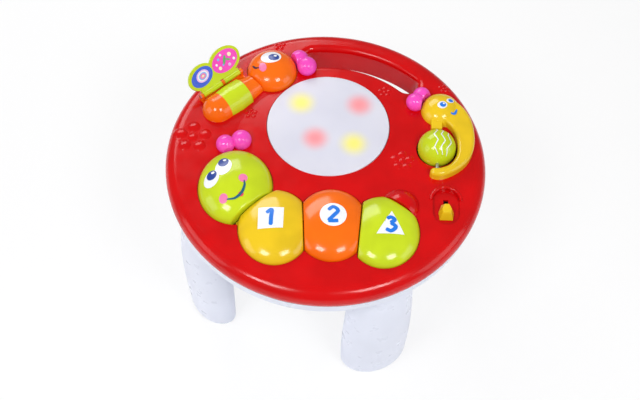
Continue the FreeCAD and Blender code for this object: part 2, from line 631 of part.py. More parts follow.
def make_top_shell():
    """Red deck with its bullnose rim, the curved grip slot and every opening for the toys."""
    z0 = PART_Z
    crown_mid = CROWN_R / 2
    outer = revolve([
        (0, z0), (0, DECK_Z + CROWN_H),
        (crown_mid, DECK_Z + CROWN_H * 0.75, CROWN_R, DECK_Z), (BULL_MID_R, DECK_Z),
        (BULL_MID_R + BULL_R * math.sin(math.pi / 4), DECK_Z - BULL_R + BULL_R * math.cos(math.pi / 4),
         TABLE_R, DECK_Z - BULL_R),
        (TABLE_R - 0.8, z0 + 4.4, BASE_R - 0.2, z0), (0, z0)])
    inner_r = BULL_R - WALL
    cavity = revolve([
        (0, z0 - 1), (0, CEILING_Z), (BULL_MID_R, CEILING_Z),
        (BULL_MID_R + inner_r * math.sin(math.pi / 4), DECK_Z - BULL_R + inner_r * math.cos(math.pi / 4),
         TABLE_R - WALL, DECK_Z - BULL_R),
        (TABLE_R - WALL - 0.8, z0 + 4.4, BASE_R - 0.2 - WALL, z0), (BASE_R - 0.2 - WALL, z0 - 1),
        (0, z0 - 1)])
    outer = outer.cut(slot_prism(0, z0 - 5, DECK_Z + 10))
    outer = round_slot_edge(outer, SLOT_EDGE, DECK_Z - 0.01)
    cavity = cavity.cut(slot_prism(WALL, z0 - 5, CEILING_Z + 5))
    cavity = round_slot_edge(cavity, SLOT_EDGE - WALL, CEILING_Z - 0.01)
    raised = []
    for f in FLOWERS:
        raised += flower(*f)
    cap_r = (TAIL_DOME_R ** 2 + TAIL_DOME_H ** 2) / (2 * TAIL_DOME_H)
    cap_z = deck_z(TAIL_DOME_X, TAIL_DOME_Y) + TAIL_DOME_H - cap_r
    raised.append(ball(TAIL_DOME_X, TAIL_DOME_Y, cap_z, cap_r))
    shape = outer.fuse(raised)
    shape = shape.cut(slot_prism(-FLANGE_GAP, UNDER_ALL, OVER_ALL))
    shape = shape.cut(cavity)
    skirt = slot_prism(WALL, DECK_Z - SKIRT_H, CEILING_Z - 4).cut(slot_prism(0, UNDER_ALL, OVER_ALL))
    shape = shape.fuse(skirt)
    shape = shape.fuse(cyl(DISH_X, DISH_BACK_Y, CEILING_Z - DISH_DEPTH, DECK_Z - 0.5, DISH_R + WALL))
    shape = shape.fuse(cyl(DISH_X, DISH_FRONT_Y, CEILING_Z - DISH_DEPTH, DECK_Z - 0.5, DISH_R + WALL))
    shape = shape.fuse(dish_lip())
    shape = shape.cut(dish_prism(0, DECK_Z - DISH_DEPTH, DECK_Z + 10))
    shape = shape.cut(knob_slot())
    for turn in SCREW_TURNS:
        p = clockwise(SCREW_RING_R, turn)
        shape = shape.fuse(cyl(p.x, p.y, BASE_Z + 6, CEILING_Z + 0.1, 3.6))
    for turn in SCREW_TURNS:
        p = clockwise(SCREW_RING_R, turn)
        shape = shape.cut(cyl(p.x, p.y, BASE_Z + 5, CEILING_Z - 3, SCREW_R + 0.1))
    low, high = CEILING_Z - 0.5, DECK_Z + 40
    cuts = [key_prism(i, RUN_GAP, -RUN_GAP * 0.3 if i < 2 else 0, low, high) for i in range(3)]
    x, y, a, b, _ = WORM_HEAD
    cuts.append(oval_prism(x, y, a + RUN_GAP, b + RUN_GAP, low, high))
    cuts.append(cyl(BEE_HEAD[0], BEE_HEAD[1], low, high, BEE_HEAD[2] + RUN_GAP))
    cuts.append(cyl(PAD_X, PAD_Y, low, high, PAD_R + RUN_GAP))
    cuts.append(cyl(BALL_X, BALL_Y, low, high, BALL_R + 1.2))
    cuts.append(cyl(SNAIL_HEAD[0], SNAIL_HEAD[1], low, DECK_Z + 0.2, 12.3))
    cuts.append(bee_barrel_plan(0, bee_length() - BEE_HEAD[2] + 5, NECK_R - 1.7, low, DECK_Z + 0.2))
    cuts += antenna_holes(WORM_BALLS + BEE_BALLS + SNAIL_BALLS)
    shape = shape.cut(cuts)
    return clean(max(shape.Solids, key=lambda s: s.Volume))


def round_slot_edge(shape, radius, z):
    edges = []
    for e in shape.Edges:
        b = e.BoundBox
        if b.ZMin < z - 0.5 or b.ZLength > 1.5:
            continue
        m = e.valueAt((e.FirstParameter + e.LastParameter) / 2)
        r = math.hypot(m.x, m.y)
        if SLOT_IN_R - 4 < r < SLOT_OUT_R + 4 and len(e.Vertexes) == 2 and e.Length < 200:
            edges.append(e)
    return shape.makeFillet(radius, edges)


def dish_prism(grow, z0, z1):
    r = DISH_R + grow
    back = cyl(DISH_X, DISH_BACK_Y, z0, z1, r)
    front = cyl(DISH_X, DISH_FRONT_Y, z0, z1, r)
    middle = box(DISH_X - r, DISH_X + r, DISH_FRONT_Y, DISH_BACK_Y, z0, z1)
    return fuse([back, front, middle])


def dish_lip():
    """Raised crescent round the back of the switch's dish, and the dish's floor under the deck."""
    ring = Part.makeTorus(DISH_R + 1.6, 1.6, V(DISH_X, DISH_BACK_Y, DECK_Z))
    ring = ring.common(box(DISH_X - 40, DISH_X + 40, DISH_BACK_Y, DISH_BACK_Y + 40, DECK_Z - 1, DECK_Z + 5))
    floor = dish_prism(WALL, CEILING_Z - DISH_DEPTH, DECK_Z - 1)
    return ring.fuse(floor)


def knob_slot():
    back_y = DISH_FRONT_Y + 3 + KNOB_TRAVEL
    return box(DISH_X - 2.4, DISH_X + 2.4, DISH_FRONT_Y - 2.4, back_y + 2.4, 190, DECK_Z)


def make_knob():
    """Faceted thumb knob that rides on the dish's floor, with a stem through the slot."""
    floor = DECK_Z - DISH_DEPTH
    y = DISH_FRONT_Y + 1.5
    base = [V(DISH_X - 7, y - 9, floor), V(DISH_X + 7, y - 9, floor), V(DISH_X + 8, y, floor),
            V(DISH_X + 5, y + 9.5, floor), V(DISH_X - 5, y + 9.5, floor), V(DISH_X - 8, y, floor)]
    top_z = floor + 10.5
    top = [V(DISH_X - 4, y - 5, top_z), V(DISH_X + 4, y - 5, top_z), V(DISH_X + 4.6, y, top_z),
           V(DISH_X + 2, y + 5, top_z), V(DISH_X - 2, y + 5, top_z), V(DISH_X - 4.6, y, top_z)]
    body = Part.makeLoft([Part.makePolygon(base + [base[0]]), Part.makePolygon(top + [top[0]])], True, True)
    body = body.makeFillet(0.9, body.Edges)
    stem = box(DISH_X - 2.0, DISH_X + 2.0, y - 2.0, y + 2.0, SWITCH_TOP - 2, floor + 2)
    return clean(body.fuse(stem))


def make_slide_switch():
    """Slide switch screwed under the dish; its channel takes the knob's stem."""
    y0, y1 = DISH_FRONT_Y - 6, DISH_FRONT_Y + KNOB_TRAVEL + 9
    case = box(DISH_X - 6, DISH_X + 6, y0, y1, SWITCH_TOP - 7, CEILING_Z - DISH_DEPTH)
    channel = box(DISH_X - 2.6, DISH_X + 2.6, y0 + 3, y1 - 3, SWITCH_TOP - 4, CEILING_Z)
    return case.cut(channel)


def leg_frame(shape, turn):
    """Turns a leg piece drawn along -Y to its place round the table."""
    shape = shape.copy()
    shape.rotate(V(0, 0, 0), UP, turn)
    return shape


def leg_section(z, half, depth, shrink):
    """D-shaped section: flat side facing the table's axis, half an oval outwards."""
    half -= shrink
    y_flat = -(LEG_FLAT_R + shrink)
    r = LEG_CORNER - shrink
    y_mid = y_flat - r
    bulge = depth - LEG_CORNER - shrink
    bend = r * (1 - math.sqrt(0.5))
    flat = Part.makeLine(V(-half + r, y_flat, z), V(half - r, y_flat, z))
    right = Part.Arc(V(half - r, y_flat, z), V(half - bend, y_flat - bend, z), V(half, y_mid, z))
    left = Part.Arc(V(-half, y_mid, z), V(-half + bend, y_flat - bend, z), V(-half + r, y_flat, z))
    oval = Part.Ellipse(V(half, y_mid, z), V(0, y_mid - bulge, z), V(0, y_mid, z))
    out = Part.ArcOfEllipse(oval, 0, math.pi)
    return Part.Wire([flat, right.toShape(), out.toShape(), left.toShape()])


def leg_body(shrink):
    return Part.makeLoft([leg_section(z, half, depth, shrink) for z, half, depth in LEG_RINGS], True, False)


def rounded_leg():
    """Leg with its foot rounded all the way round a flat resting area."""
    leg = leg_body(0)
    foot_edges = [e for e in leg.Edges if e.BoundBox.ZMax < 1.0]
    return leg.makeFillet(FOOT_EDGE, foot_edges)


def leg_plug(gap, top):
    half = PLUG_L / 2 + gap
    wide = PLUG_W / 2 + gap
    block = box(-half, half, -PLUG_R - wide, -PLUG_R + wide, BASE_Z, top)
    uprights = [e for e in block.Edges if e.BoundBox.ZLength > 5]
    return block.makeFillet(4.0, uprights)


def make_leg():
    """Outer half with the plug and the inner half that closes its flat side."""
    solid = rounded_leg()
    hollow = leg_body(LEG_WALL).common(box(-80, 80, -200, 0, 6.0, BASE_Z - LEG_WALL))
    shell = solid.cut(hollow)
    split_y = -(LEG_FLAT_R + LEG_SPLIT)
    inner = shell.common(box(-80, 80, split_y + 0.05, 0, -1, 220))
    outer = shell.common(box(-80, 80, -220, split_y - 0.05, -1, 220))
    plug = leg_plug(0, BASE_Z + PLUG_H)
    outer = outer.fuse(plug)
    for z in LEG_SCREW_ZS:
        post_to = split_y + 0.05
        post = Part.makeCylinder(3.4, 34, V(0, split_y - 34 - 0.05, z), V(0, 1, 0))
        post = post.common(solid)
        outer = outer.fuse(post).cut(Part.makeCylinder(SCREW_R + 0.1, 14, V(0, split_y - 14, z), V(0, 1, 0)))
        tube = Part.makeCylinder(4.4, LEG_SPLIT - 0.1, V(0, post_to, z), V(0, 1, 0)).common(solid)
        inner = inner.fuse(tube)
        inner = inner.cut(Part.makeCylinder(SCREW_R + 0.2, 30, V(0, post_to - 1, z), V(0, 1, 0)))
        inner = inner.cut(Part.makeCylinder(SCREW_HEAD_R + 0.3, 30, V(0, post_to + 3.0, z), V(0, 1, 0)))
    return clean(outer), clean(inner)


def leg_screws():
    split_y = -(LEG_FLAT_R + LEG_SPLIT)
    screws = []
    for z in LEG_SCREW_ZS:
        head_y = split_y + 0.05 + 3.0
        shank = Part.makeCylinder(SCREW_R, 14, V(0, head_y - 14, z), V(0, 1, 0))
        head = Part.makeCylinder(SCREW_HEAD_R, SCREW_HEAD_H, V(0, head_y, z), V(0, 1, 0))
        screws.append(shank.fuse(head))
    return screws


def make_bottom_shell():
    """White base: floor, side, leg sockets, battery box, speaker grille, posts and screw tubes."""
    outer = revolve([
        (0, BASE_Z), (BASE_R - FOOT_ROUND, BASE_Z),
        (BASE_R - FOOT_ROUND * 0.2929, BASE_Z + FOOT_ROUND * 0.2929, BASE_R, BASE_Z + FOOT_ROUND),
        (BASE_R, PART_Z), (0, PART_Z), (0, BASE_Z)])
    r_in = BASE_R - WALL
    cavity = revolve([(0, FLOOR_Z), (r_in - 2, FLOOR_Z), (r_in, FLOOR_Z + 2), (r_in, PART_Z + 1),
                      (0, PART_Z + 1), (0, FLOOR_Z)])
    shape = outer.cut(cavity)
    tongue = cyl(0, 0, PART_Z - 5, PART_Z + 2.6, r_in - 0.6)
    tongue = tongue.cut(cyl(0, 0, PART_Z - 6, PART_Z + 3, r_in - 1.9))
    web = cyl(0, 0, PART_Z - 5, PART_Z, r_in + 0.5).cut(cyl(0, 0, PART_Z - 6, PART_Z + 1, r_in - 1.9))
    shape = shape.fuse([tongue, web])
    blocks = []
    for turn in LEG_TURNS:
        half, wide = PLUG_L / 2 + 2.3, PLUG_W / 2 + 2.3
        block = box(-half, half, -PLUG_R - wide, -PLUG_R + wide, BASE_Z, BASE_Z + PLUG_H + 2.2)
        blocks.append(leg_frame(block, turn))
    for turn in SCREW_TURNS:
        p = clockwise(SCREW_RING_R, turn)
        blocks.append(cyl(p.x, p.y, BASE_Z, BASE_Z + 6, 5.2))
    ledge, wall = 5.5, 2.0
    bw, bl = BATTERY_W / 2, BATTERY_L / 2
    blocks.append(box(-bw - ledge, bw + ledge, BATTERY_Y - bl - ledge, BATTERY_Y + bl + ledge, BASE_Z,
                      BASE_Z + 5))
    blocks.append(box(-bw - wall, bw + wall, BATTERY_Y - bl - wall, BATTERY_Y + bl + wall, BASE_Z,
                      BASE_Z + BATTERY_H + 1.4))
    blocks += board_posts()
    speaker_ring = cyl(SPEAKER_X, SPEAKER_Y, BASE_Z, FLOOR_Z + 4, SPEAKER_R + 2.3)
    speaker_ring = speaker_ring.cut(cyl(SPEAKER_X, SPEAKER_Y, FLOOR_Z, FLOOR_Z + 5, SPEAKER_R + 0.3))
    blocks.append(speaker_ring)
    shape = shape.fuse(blocks)
    cuts = [slot_prism(WALL + 0.4, BASE_Z - 5, PART_Z + 10)]
    for turn in LEG_TURNS:
        cuts.append(leg_frame(leg_plug(0.15, BASE_Z + PLUG_H + 0.2), turn))
    for turn in SCREW_TURNS:
        p = clockwise(SCREW_RING_R, turn)
        cuts.append(cyl(p.x, p.y, BASE_Z - 1, BASE_Z + 7, SCREW_R + 0.2))
        cuts.append(cyl(p.x, p.y, BASE_Z - 1, BASE_Z + 3, SCREW_HEAD_R + 0.3))
    cuts.append(box(-bw, bw, BATTERY_Y - bl, BATTERY_Y + bl, BASE_Z - 1, BASE_Z + BATTERY_H))
    cuts.append(box(-bw - 3, bw + 3, BATTERY_Y - bl - 3, BATTERY_Y + bl + 3, BASE_Z - 1, BASE_Z + DOOR_T))
    for ring, count in ((0.0, 1), (7.0, 6), (14.0, 12)):
        for i in range(count):
            a = 2 * math.pi * i / count
            hole_x, hole_y = SPEAKER_X + ring * math.cos(a), SPEAKER_Y + ring * math.sin(a)
            cuts.append(cyl(hole_x, hole_y, BASE_Z - 1, FLOOR_Z + 1, 1.8))
    shape = shape.cut(cuts)
    return clean(max(shape.Solids, key=lambda s: s.Volume))


def board_posts():
    posts = [cyl(x, y, BASE_Z + 1, LAMP_BOARD_Z, 3) for x, y in LAMP_POSTS]
    posts += [cyl(x, y, BASE_Z + 1, BOARD_Z, 2.5) for x, y in KEY_POSTS + HEAD_POSTS + BEE_POSTS]
    posts += [cyl(x, y, BASE_Z + 1, FLOOR_Z + 4, 2.5) for x, y in MAIN_POSTS]
    return posts


def make_door():
    bw, bl = BATTERY_W / 2 + 3 - SEAT_GAP, BATTERY_L / 2 + 3 - SEAT_GAP
    door = box(-bw, bw, BATTERY_Y - bl, BATTERY_Y + bl, BASE_Z, BASE_Z + DOOR_T)
    for i in range(5):
        y = BATTERY_Y - 20 + 4 * i
        door = door.cut(box(-8, 8, y, y + 1.6, BASE_Z - 1, BASE_Z + 0.6))
    hole_y = BATTERY_Y + bl - 3.6
    door = door.cut(cyl(0, hole_y, BASE_Z - 1, BASE_Z + 5, 1.0))
    return door


def make_door_screw():
    bl = BATTERY_L / 2 + 3 - SEAT_GAP
    y = BATTERY_Y + bl - 3.6
    return cyl(0, y, BASE_Z - 1.2, BASE_Z, 2.2).fuse(cyl(0, y, BASE_Z - 1.2, BASE_Z + DOOR_T, 0.95))


def make_cells():
    cells = []
    for i in (-1, 0, 1):
        sign = -1 if i == 0 else 1
        x = i * (2 * CELL_R + 0.8)
        z = BASE_Z + DOOR_T + 0.1 + CELL_R
        y0 = BATTERY_Y - CELL_L / 2
        body = Part.makeCylinder(CELL_R, CELL_L - 1.2, V(x, y0 if sign > 0 else y0 + 1.2, z), V(0, 1, 0))
        y_nub = y0 + CELL_L - 1.2 if sign > 0 else y0
        nub = Part.makeCylinder(2.7, 1.2, V(x, y_nub, z), V(0, 1, 0))
        cells.append(body.fuse(nub))
    return cells


def make_contacts():
    """Sprung plates at both ends of the cells, seated against the box's end walls."""
    plates = []
    z0 = BASE_Z + 5
    for end in (-1, 1):
        wall_y = BATTERY_Y + end * BATTERY_L / 2
        cell_y = BATTERY_Y + end * CELL_L / 2
        for i in (-1, 0, 1):
            x = i * (2 * CELL_R + 0.8)
            y0, y1 = sorted((wall_y, wall_y - end * 0.5))
            plate = box(x - 5, x + 5, y0, y1, z0, z0 + 11)
            y2, y3 = sorted((wall_y, cell_y))
            centre = V(x, wall_y, BASE_Z + DOOR_T + 0.1 + CELL_R)
            spring = Part.makeCone(3.6, 2.0, y3 - y2, centre, V(0, -end, 0))
            plates.append(plate.fuse(spring))
    return plates


def make_speaker():
    x, y, r = SPEAKER_X, SPEAKER_Y, SPEAKER_R
    frame = cyl(x, y, FLOOR_Z, FLOOR_Z + 2, r).cut(cyl(x, y, FLOOR_Z, FLOOR_Z + 2, r - 3))
    basket = Part.makeCone(r - 1, 12, 9, V(x, y, FLOOR_Z + 2), UP)
    basket = basket.cut(Part.makeCone(r - 3, 10.5, 9, V(x, y, FLOOR_Z + 2), UP))
    for i in range(4):
        window = box(-4, 4, 8, 40, FLOOR_Z + 3, FLOOR_Z + 9)
        window.rotate(V(0, 0, 0), UP, 45 + 90 * i)
        window.translate(V(x, y, 0))
        basket = basket.cut(window)
    frame = clean(frame.fuse(basket))
    cone = Part.makeCone(r - 3.4, 9, 6.5, V(x, y, FLOOR_Z + 0.8), UP)
    cone = cone.cut(Part.makeCone(r - 4.4, 8, 6.5, V(x, y, FLOOR_Z + 0.4), UP))
    coil = cyl(x, y, FLOOR_Z + 6.6, FLOOR_Z + 11, 8.0).cut(cyl(x, y, FLOOR_Z + 6, FLOOR_Z + 10, 7.0))
    cone = cone.fuse(coil)
    magnet = cyl(x, y, FLOOR_Z + 11, FLOOR_Z + 17, 13.0)
    return frame, clean(cone), magnet


def make_boards():
    top = BOARD_Z + BOARD_T
    key = box(-64, 74, -93, -67, BOARD_Z, top)
    head = box(-101, -75, -46, -26, BOARD_Z, top)
    bee = box(-73, -47, 97, 117, BOARD_Z, top)
    lamp = cyl(PAD_X, PAD_Y, LAMP_BOARD_Z, LAMP_BOARD_Z + BOARD_T, LAMP_BOARD_R)
    main = box(35, 85, 11, 61, FLOOR_Z + 4, FLOOR_Z + 4 + BOARD_T)
    return key, head, bee, lamp, main


def make_chips():
    z = FLOOR_Z + 4 + BOARD_T
    chips = [box(48, 62, 26, 40, z, z + 2.2), box(66, 76, 24, 30, z, z + 1.8)]
    for i in range(3):
        chips.append(cyl(50 + 8 * i, 49, z, z + 7, 2.6))
    return chips


def make_dome(x, y, z):
    """Hollow silicone dome with its contact pill's crown just under the plunger."""
    base = cyl(x, y, z, z + 0.8, DOME_R + 1.4)
    cone = Part.makeCone(DOME_R, 2.8, DOME_H - 0.8, V(x, y, z + 0.8), UP)
    hollow = Part.makeCone(DOME_R - 1, 1.6, DOME_H - 2.4, V(x, y, z), UP)
    return base.fuse(cone).cut(hollow)


PAD_STUBS = tuple((PAD_X + 52.5 * math.cos(math.radians(a)), PAD_Y + 52.5 * math.sin(math.radians(a)))
                  for a in (90, 210, 330))


def make_pad():
    """Translucent drum pad with a low crown, skirt, flange and three plungers."""
    rim_z = deck_z(PAD_X + PAD_R, PAD_Y) + 0.6
    flange_top = CEILING_Z - FLANGE_GAP
    flange_low = flange_top - FLANGE_T
    under = rim_z - 2.4
    edge = 0.8
    shape = revolve([
        (0, under), (0, rim_z + PAD_CROWN), (PAD_R / 2, rim_z + PAD_CROWN * 0.75, PAD_R - edge, rim_z),
        (PAD_R - edge * 0.29, rim_z - edge * 0.29, PAD_R, rim_z - edge), (PAD_R, flange_top),
        (PAD_R + FLANGE_W, flange_top), (PAD_R + FLANGE_W, flange_low), (PAD_R - 2, flange_low),
        (PAD_R - 2, under), (0, under)])
    shape.translate(V(PAD_X, PAD_Y, 0))
    shape = shape.cut(cyl(BEE_HEAD[0], BEE_HEAD[1], UNDER_ALL, CEILING_Z, BEE_HEAD[2] + FLANGE_W + 0.8))
    for x, y in PAD_STUBS:
        shape = shape.fuse(cyl(x, y, LAMP_BOARD_Z + BOARD_T + DOME_H, under + 0.1, 2.4))
    return clean(shape)


def make_reflector():
    """White tray round the lamps, standing on their board."""
    z = LAMP_BOARD_Z + BOARD_T
    wall = Part.makeCone(45.9, 46.3, 5, V(PAD_X, PAD_Y, z), UP)
    wall = wall.cut(Part.makeCone(44.9, 45.3, 5, V(PAD_X, PAD_Y, z), UP))
    floor = cyl(PAD_X, PAD_Y, z, z + 0.8, 45.6)
    for x, y in LAMPS_RED + LAMPS_YELLOW:
        floor = floor.cut(cyl(x, y, z - 1, z + 2, 3.4))
    return clean(wall.fuse(floor))


def make_lamp(x, y):
    z = LAMP_BOARD_Z + BOARD_T
    body = cyl(x, y, z, z + 4, 2.5).fuse(ball(x, y, z + 4, 2.5))
    return body.fuse(cyl(x, y, z, z + 0.8, 2.9))


def make_housing_screws():
    screws = []
    for turn in SCREW_TURNS:
        p = clockwise(SCREW_RING_R, turn)
        head = cyl(p.x, p.y, BASE_Z + 3 - SCREW_HEAD_H, BASE_Z + 3, SCREW_HEAD_R)
        shank = cyl(p.x, p.y, BASE_Z + 3, BASE_Z + 17, SCREW_R)
        screws.append(head.fuse(shank))
    return screws


save(make_top_shell(), "top_shell")
save(make_bottom_shell(), "bottom_shell")

outer_half, inner_half = make_leg()
all_leg_screws = []
for number, turn in enumerate(LEG_TURNS, 1):
    save(leg_frame(outer_half, turn), "leg_outer_%d" % number)
    save(leg_frame(inner_half, turn), "leg_inner_%d" % number)
    all_leg_screws += [leg_frame(s, turn) for s in leg_screws()]
save(compound(all_leg_screws), "leg_screws")
save(compound(make_housing_screws()), "housing_screws")

for number, key in enumerate(make_keys(), 1):
    save(key, "key_%d" % number)
save(make_worm_head(), "worm_head")
save(make_bee_head(), "bee_head")
save(make_pad(), "drum_pad")

save(make_worm_antennae(), "worm_antennae")
save(make_bee_antennae(), "bee_antennae")
save(make_snail_antennae(), "snail_antennae")

save(make_bee_body(), "bee_body")
save(make_bee_band(), "bee_band")
save(make_wing(), "wing_flap")
save(make_wing_inlay(0), "wing_inlay_lower")
save(make_wing_inlay(1), "wing_inlay_upper")
save(make_wing_pin(), "wing_pin")

save(make_snail_body(), "snail_body")
save(make_ball(), "spin_ball")
save(make_axle(), "ball_axle")
save(make_ball_well(), "ball_well")

save(make_knob(), "mode_knob")
save(make_slide_switch(), "slide_switch")

key_board, head_board, bee_board, lamp_board, main_board = make_boards()
save(key_board, "key_board")
save(head_board, "worm_board")
save(bee_board, "bee_board")
save(lamp_board, "lamp_board")
save(main_board, "main_board")
save(compound(make_chips()), "board_chips")
for number, (px, py) in enumerate(PLUNGERS, 1):
    save(make_dome(px, py, BOARD_Z + BOARD_T), "key_dome_%d" % number)
save(make_dome(HEAD_PLUNGER[0], HEAD_PLUNGER[1], BOARD_Z + BOARD_T), "worm_dome")
save(make_dome(BEE_PLUNGER[0], BEE_PLUNGER[1], BOARD_Z + BOARD_T), "bee_dome")
save(compound([make_dome(x, y, LAMP_BOARD_Z + BOARD_T) for x, y in PAD_STUBS]), "pad_domes")
save(make_reflector(), "lamp_reflector")
save(compound([make_lamp(x, y) for x, y in LAMPS_RED]), "lamps_red")
save(compound([make_lamp(x, y) for x, y in LAMPS_YELLOW]), "lamps_yellow")

speaker_frame, speaker_cone, speaker_magnet = make_speaker()
save(speaker_frame, "speaker_frame")
save(speaker_cone, "speaker_cone")
save(speaker_magnet, "speaker_magnet")

save(make_door(), "battery_door")
save(make_door_screw(), "door_screw")
save(compound(make_cells()), "battery_cells")
save(compound(make_contacts()), "battery_contacts")
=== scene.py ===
# %% [markdown]
# # A toddler's musical activity table
#
# The real table is a toy about 33 cm across: a glossy red deck clipped onto a white base, four white snap-in
# legs, and a crowd of bright domes to press, spin and flap. Every hard part here comes from the imported
# solid model, at its real size and in its real place. This lesson adds what makes the plastic look real:
# finishes, painted faces, the number badges, the small zigzags on the ball and the lamp light painted into
# the pad.
#
# We load the solid model first. Its meshes are fixed, so nearly all of them only get better materials. Five
# rubber domes are made again; on the real toy they give way under the buttons.

# %% Load the fixed frame
import json
import math

import bmesh
import bpy
from mathutils import Matrix, Vector


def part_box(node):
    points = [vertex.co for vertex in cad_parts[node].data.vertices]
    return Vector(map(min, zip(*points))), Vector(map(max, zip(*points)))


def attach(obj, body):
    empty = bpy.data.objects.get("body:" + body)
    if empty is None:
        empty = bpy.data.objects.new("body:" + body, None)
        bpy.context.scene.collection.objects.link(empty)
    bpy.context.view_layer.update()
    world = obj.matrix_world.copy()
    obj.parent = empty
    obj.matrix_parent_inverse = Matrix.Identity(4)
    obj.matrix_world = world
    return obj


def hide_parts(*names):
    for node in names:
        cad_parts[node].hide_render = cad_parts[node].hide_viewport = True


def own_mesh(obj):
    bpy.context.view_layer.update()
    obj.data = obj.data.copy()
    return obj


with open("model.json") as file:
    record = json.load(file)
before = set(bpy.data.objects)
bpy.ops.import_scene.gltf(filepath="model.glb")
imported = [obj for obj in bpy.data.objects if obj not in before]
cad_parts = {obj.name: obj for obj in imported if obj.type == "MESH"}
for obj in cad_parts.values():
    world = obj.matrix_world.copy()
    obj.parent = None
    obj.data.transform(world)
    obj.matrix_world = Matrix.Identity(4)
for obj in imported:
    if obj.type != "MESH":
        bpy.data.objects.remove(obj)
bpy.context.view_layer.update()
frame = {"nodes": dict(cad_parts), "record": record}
nodes = frame["nodes"]
MM = 0.001
print("nodes loaded:", len(nodes))

# %% [markdown]
# ## The camera
#
# The picture looks down on the table from the keys' side. The rim of the deck is a circle, and in the
# picture it is an oval: how flat the oval is gives the camera's height angle, and its size gives the
# distance for a lens of ordinary length. The camera also leans over by about two degrees. We build its
# axes by hand, because that is the plainest way to say "look at this point from this height angle, then
# lean a little".

# %% Camera from the oval of the rim
DECK_Z = 208 * MM
ELEVATION = math.radians(57.67)
LEAN = math.radians(2.22)
DISTANCE = 1.2
LENS = 67.45
AIM = Vector((-4.48 * MM, -53.86 * MM, DECK_Z))

back = Vector((0, -math.cos(ELEVATION), math.sin(ELEVATION)))
right = Vector((1, 0, 0))
up = back.cross(right)
camera_x = right * math.cos(LEAN) + up * math.sin(LEAN)
camera_y = up * math.cos(LEAN) - right * math.sin(LEAN)
place = Matrix((camera_x, camera_y, back)).transposed().to_4x4()
place.translation = AIM + back * DISTANCE

camera_data = bpy.data.cameras.new("camera")
camera_data.lens = LENS
camera_data.sensor_width = 36
camera = bpy.data.objects.new("camera", camera_data)
camera.matrix_world = place
bpy.context.scene.collection.objects.link(camera)
bpy.context.scene.camera = camera
print("camera at", [round(v, 3) for v in camera.location])

# %% [markdown]
# ## Floor and studio light
#
# A catalogue picture has a white floor and big soft lamps, whose square reflections show on every dome.
# We use a plain pale floor, a dim pale world and five area lamps: two key softboxes in front that leave the
# pairs of square glints on the domes, a large one behind that brightens the back of the deck, and two wide
# ones at the sides for the legs. The world is dim so that the red deck stays deep: a bright one would lie
# over it as a white haze.

# %% Floor
def new_material(name):
    """A material with nodes, its tree and its main shader."""
    material = bpy.data.materials.new(name)
    material.use_nodes = True
    tree = material.node_tree
    shader = tree.nodes["Principled BSDF"]
    return material, tree, shader


SHADOWLESS = 0.75
FLOOR_HALF = 3.0


def make_floor():
    """Pale floor; the camera sees it mostly white, with a quarter of its real light and shadow."""
    mesh = bpy.data.meshes.new("floor")
    corners = [(x * FLOOR_HALF, y * FLOOR_HALF, 0) for x, y in ((-1, -1), (1, -1), (1, 1), (-1, 1))]
    mesh.from_pydata(corners, [], [(0, 1, 2, 3)])
    floor = bpy.data.objects.new("floor", mesh)
    bpy.context.scene.collection.objects.link(floor)
    material, tree, shader = new_material("floor_paper")
    shader.inputs["Base Color"].default_value = (0.93, 0.93, 0.94, 1)
    shader.inputs["Roughness"].default_value = 0.9
    shader.inputs["Specular IOR Level"].default_value = 0.1
    bright = tree.nodes.new("ShaderNodeEmission")
    bright.inputs["Color"].default_value = (1, 1, 1, 1)
    seen = tree.nodes.new("ShaderNodeLightPath")
    share = tree.nodes.new("ShaderNodeMath")
    share.operation = "MULTIPLY"
    share.inputs[1].default_value = SHADOWLESS
    tree.links.new(seen.outputs["Is Camera Ray"], share.inputs[0])
    blend = tree.nodes.new("ShaderNodeMixShader")
    tree.links.new(share.outputs[0], blend.inputs["Fac"])
    tree.links.new(shader.outputs[0], blend.inputs[1])
    tree.links.new(bright.outputs[0], blend.inputs[2])
    tree.links.new(blend.outputs[0], tree.nodes["Material Output"].inputs["Surface"])
    mesh.materials.append(material)
    return floor


floor = make_floor()
print("floor is", floor.dimensions.x, "m wide")

# %% Soft lamps
SKY_LIGHT = 0.26
BACKDROP_LIGHT = 1.0
DECK_MIDDLE = (0, 0, DECK_Z)
LAMPS = (  # name, place, width and height, watts
    ("softbox_left", (-0.55, -0.75, 1.35), (0.42, 0.42), 8),
    ("softbox_right", (0.55, -0.75, 1.35), (0.42, 0.42), 8),
    ("softbox_back", (-0.45, 1.0, 1.0), (0.9, 0.6), 7),
    ("fill_left", (-1.6, -0.5, 0.8), (1.0, 1.0), 6),
    ("fill_right", (1.6, -0.5, 0.8), (1.0, 1.0), 6),
)


def area_lamp(name, position, size, watts):
    """Rectangular lamp that looks at the middle of the deck."""
    data = bpy.data.lights.new(name, "AREA")
    data.shape = "RECTANGLE"
    data.size, data.size_y = size
    data.energy = watts
    lamp = bpy.data.objects.new(name, data)
    lamp.location = position
    lamp.rotation_euler = (Vector(DECK_MIDDLE) - Vector(position)).to_track_quat("-Z", "Y").to_euler()
    bpy.context.scene.collection.objects.link(lamp)
    return lamp


for lamp in LAMPS:
    area_lamp(*lamp)

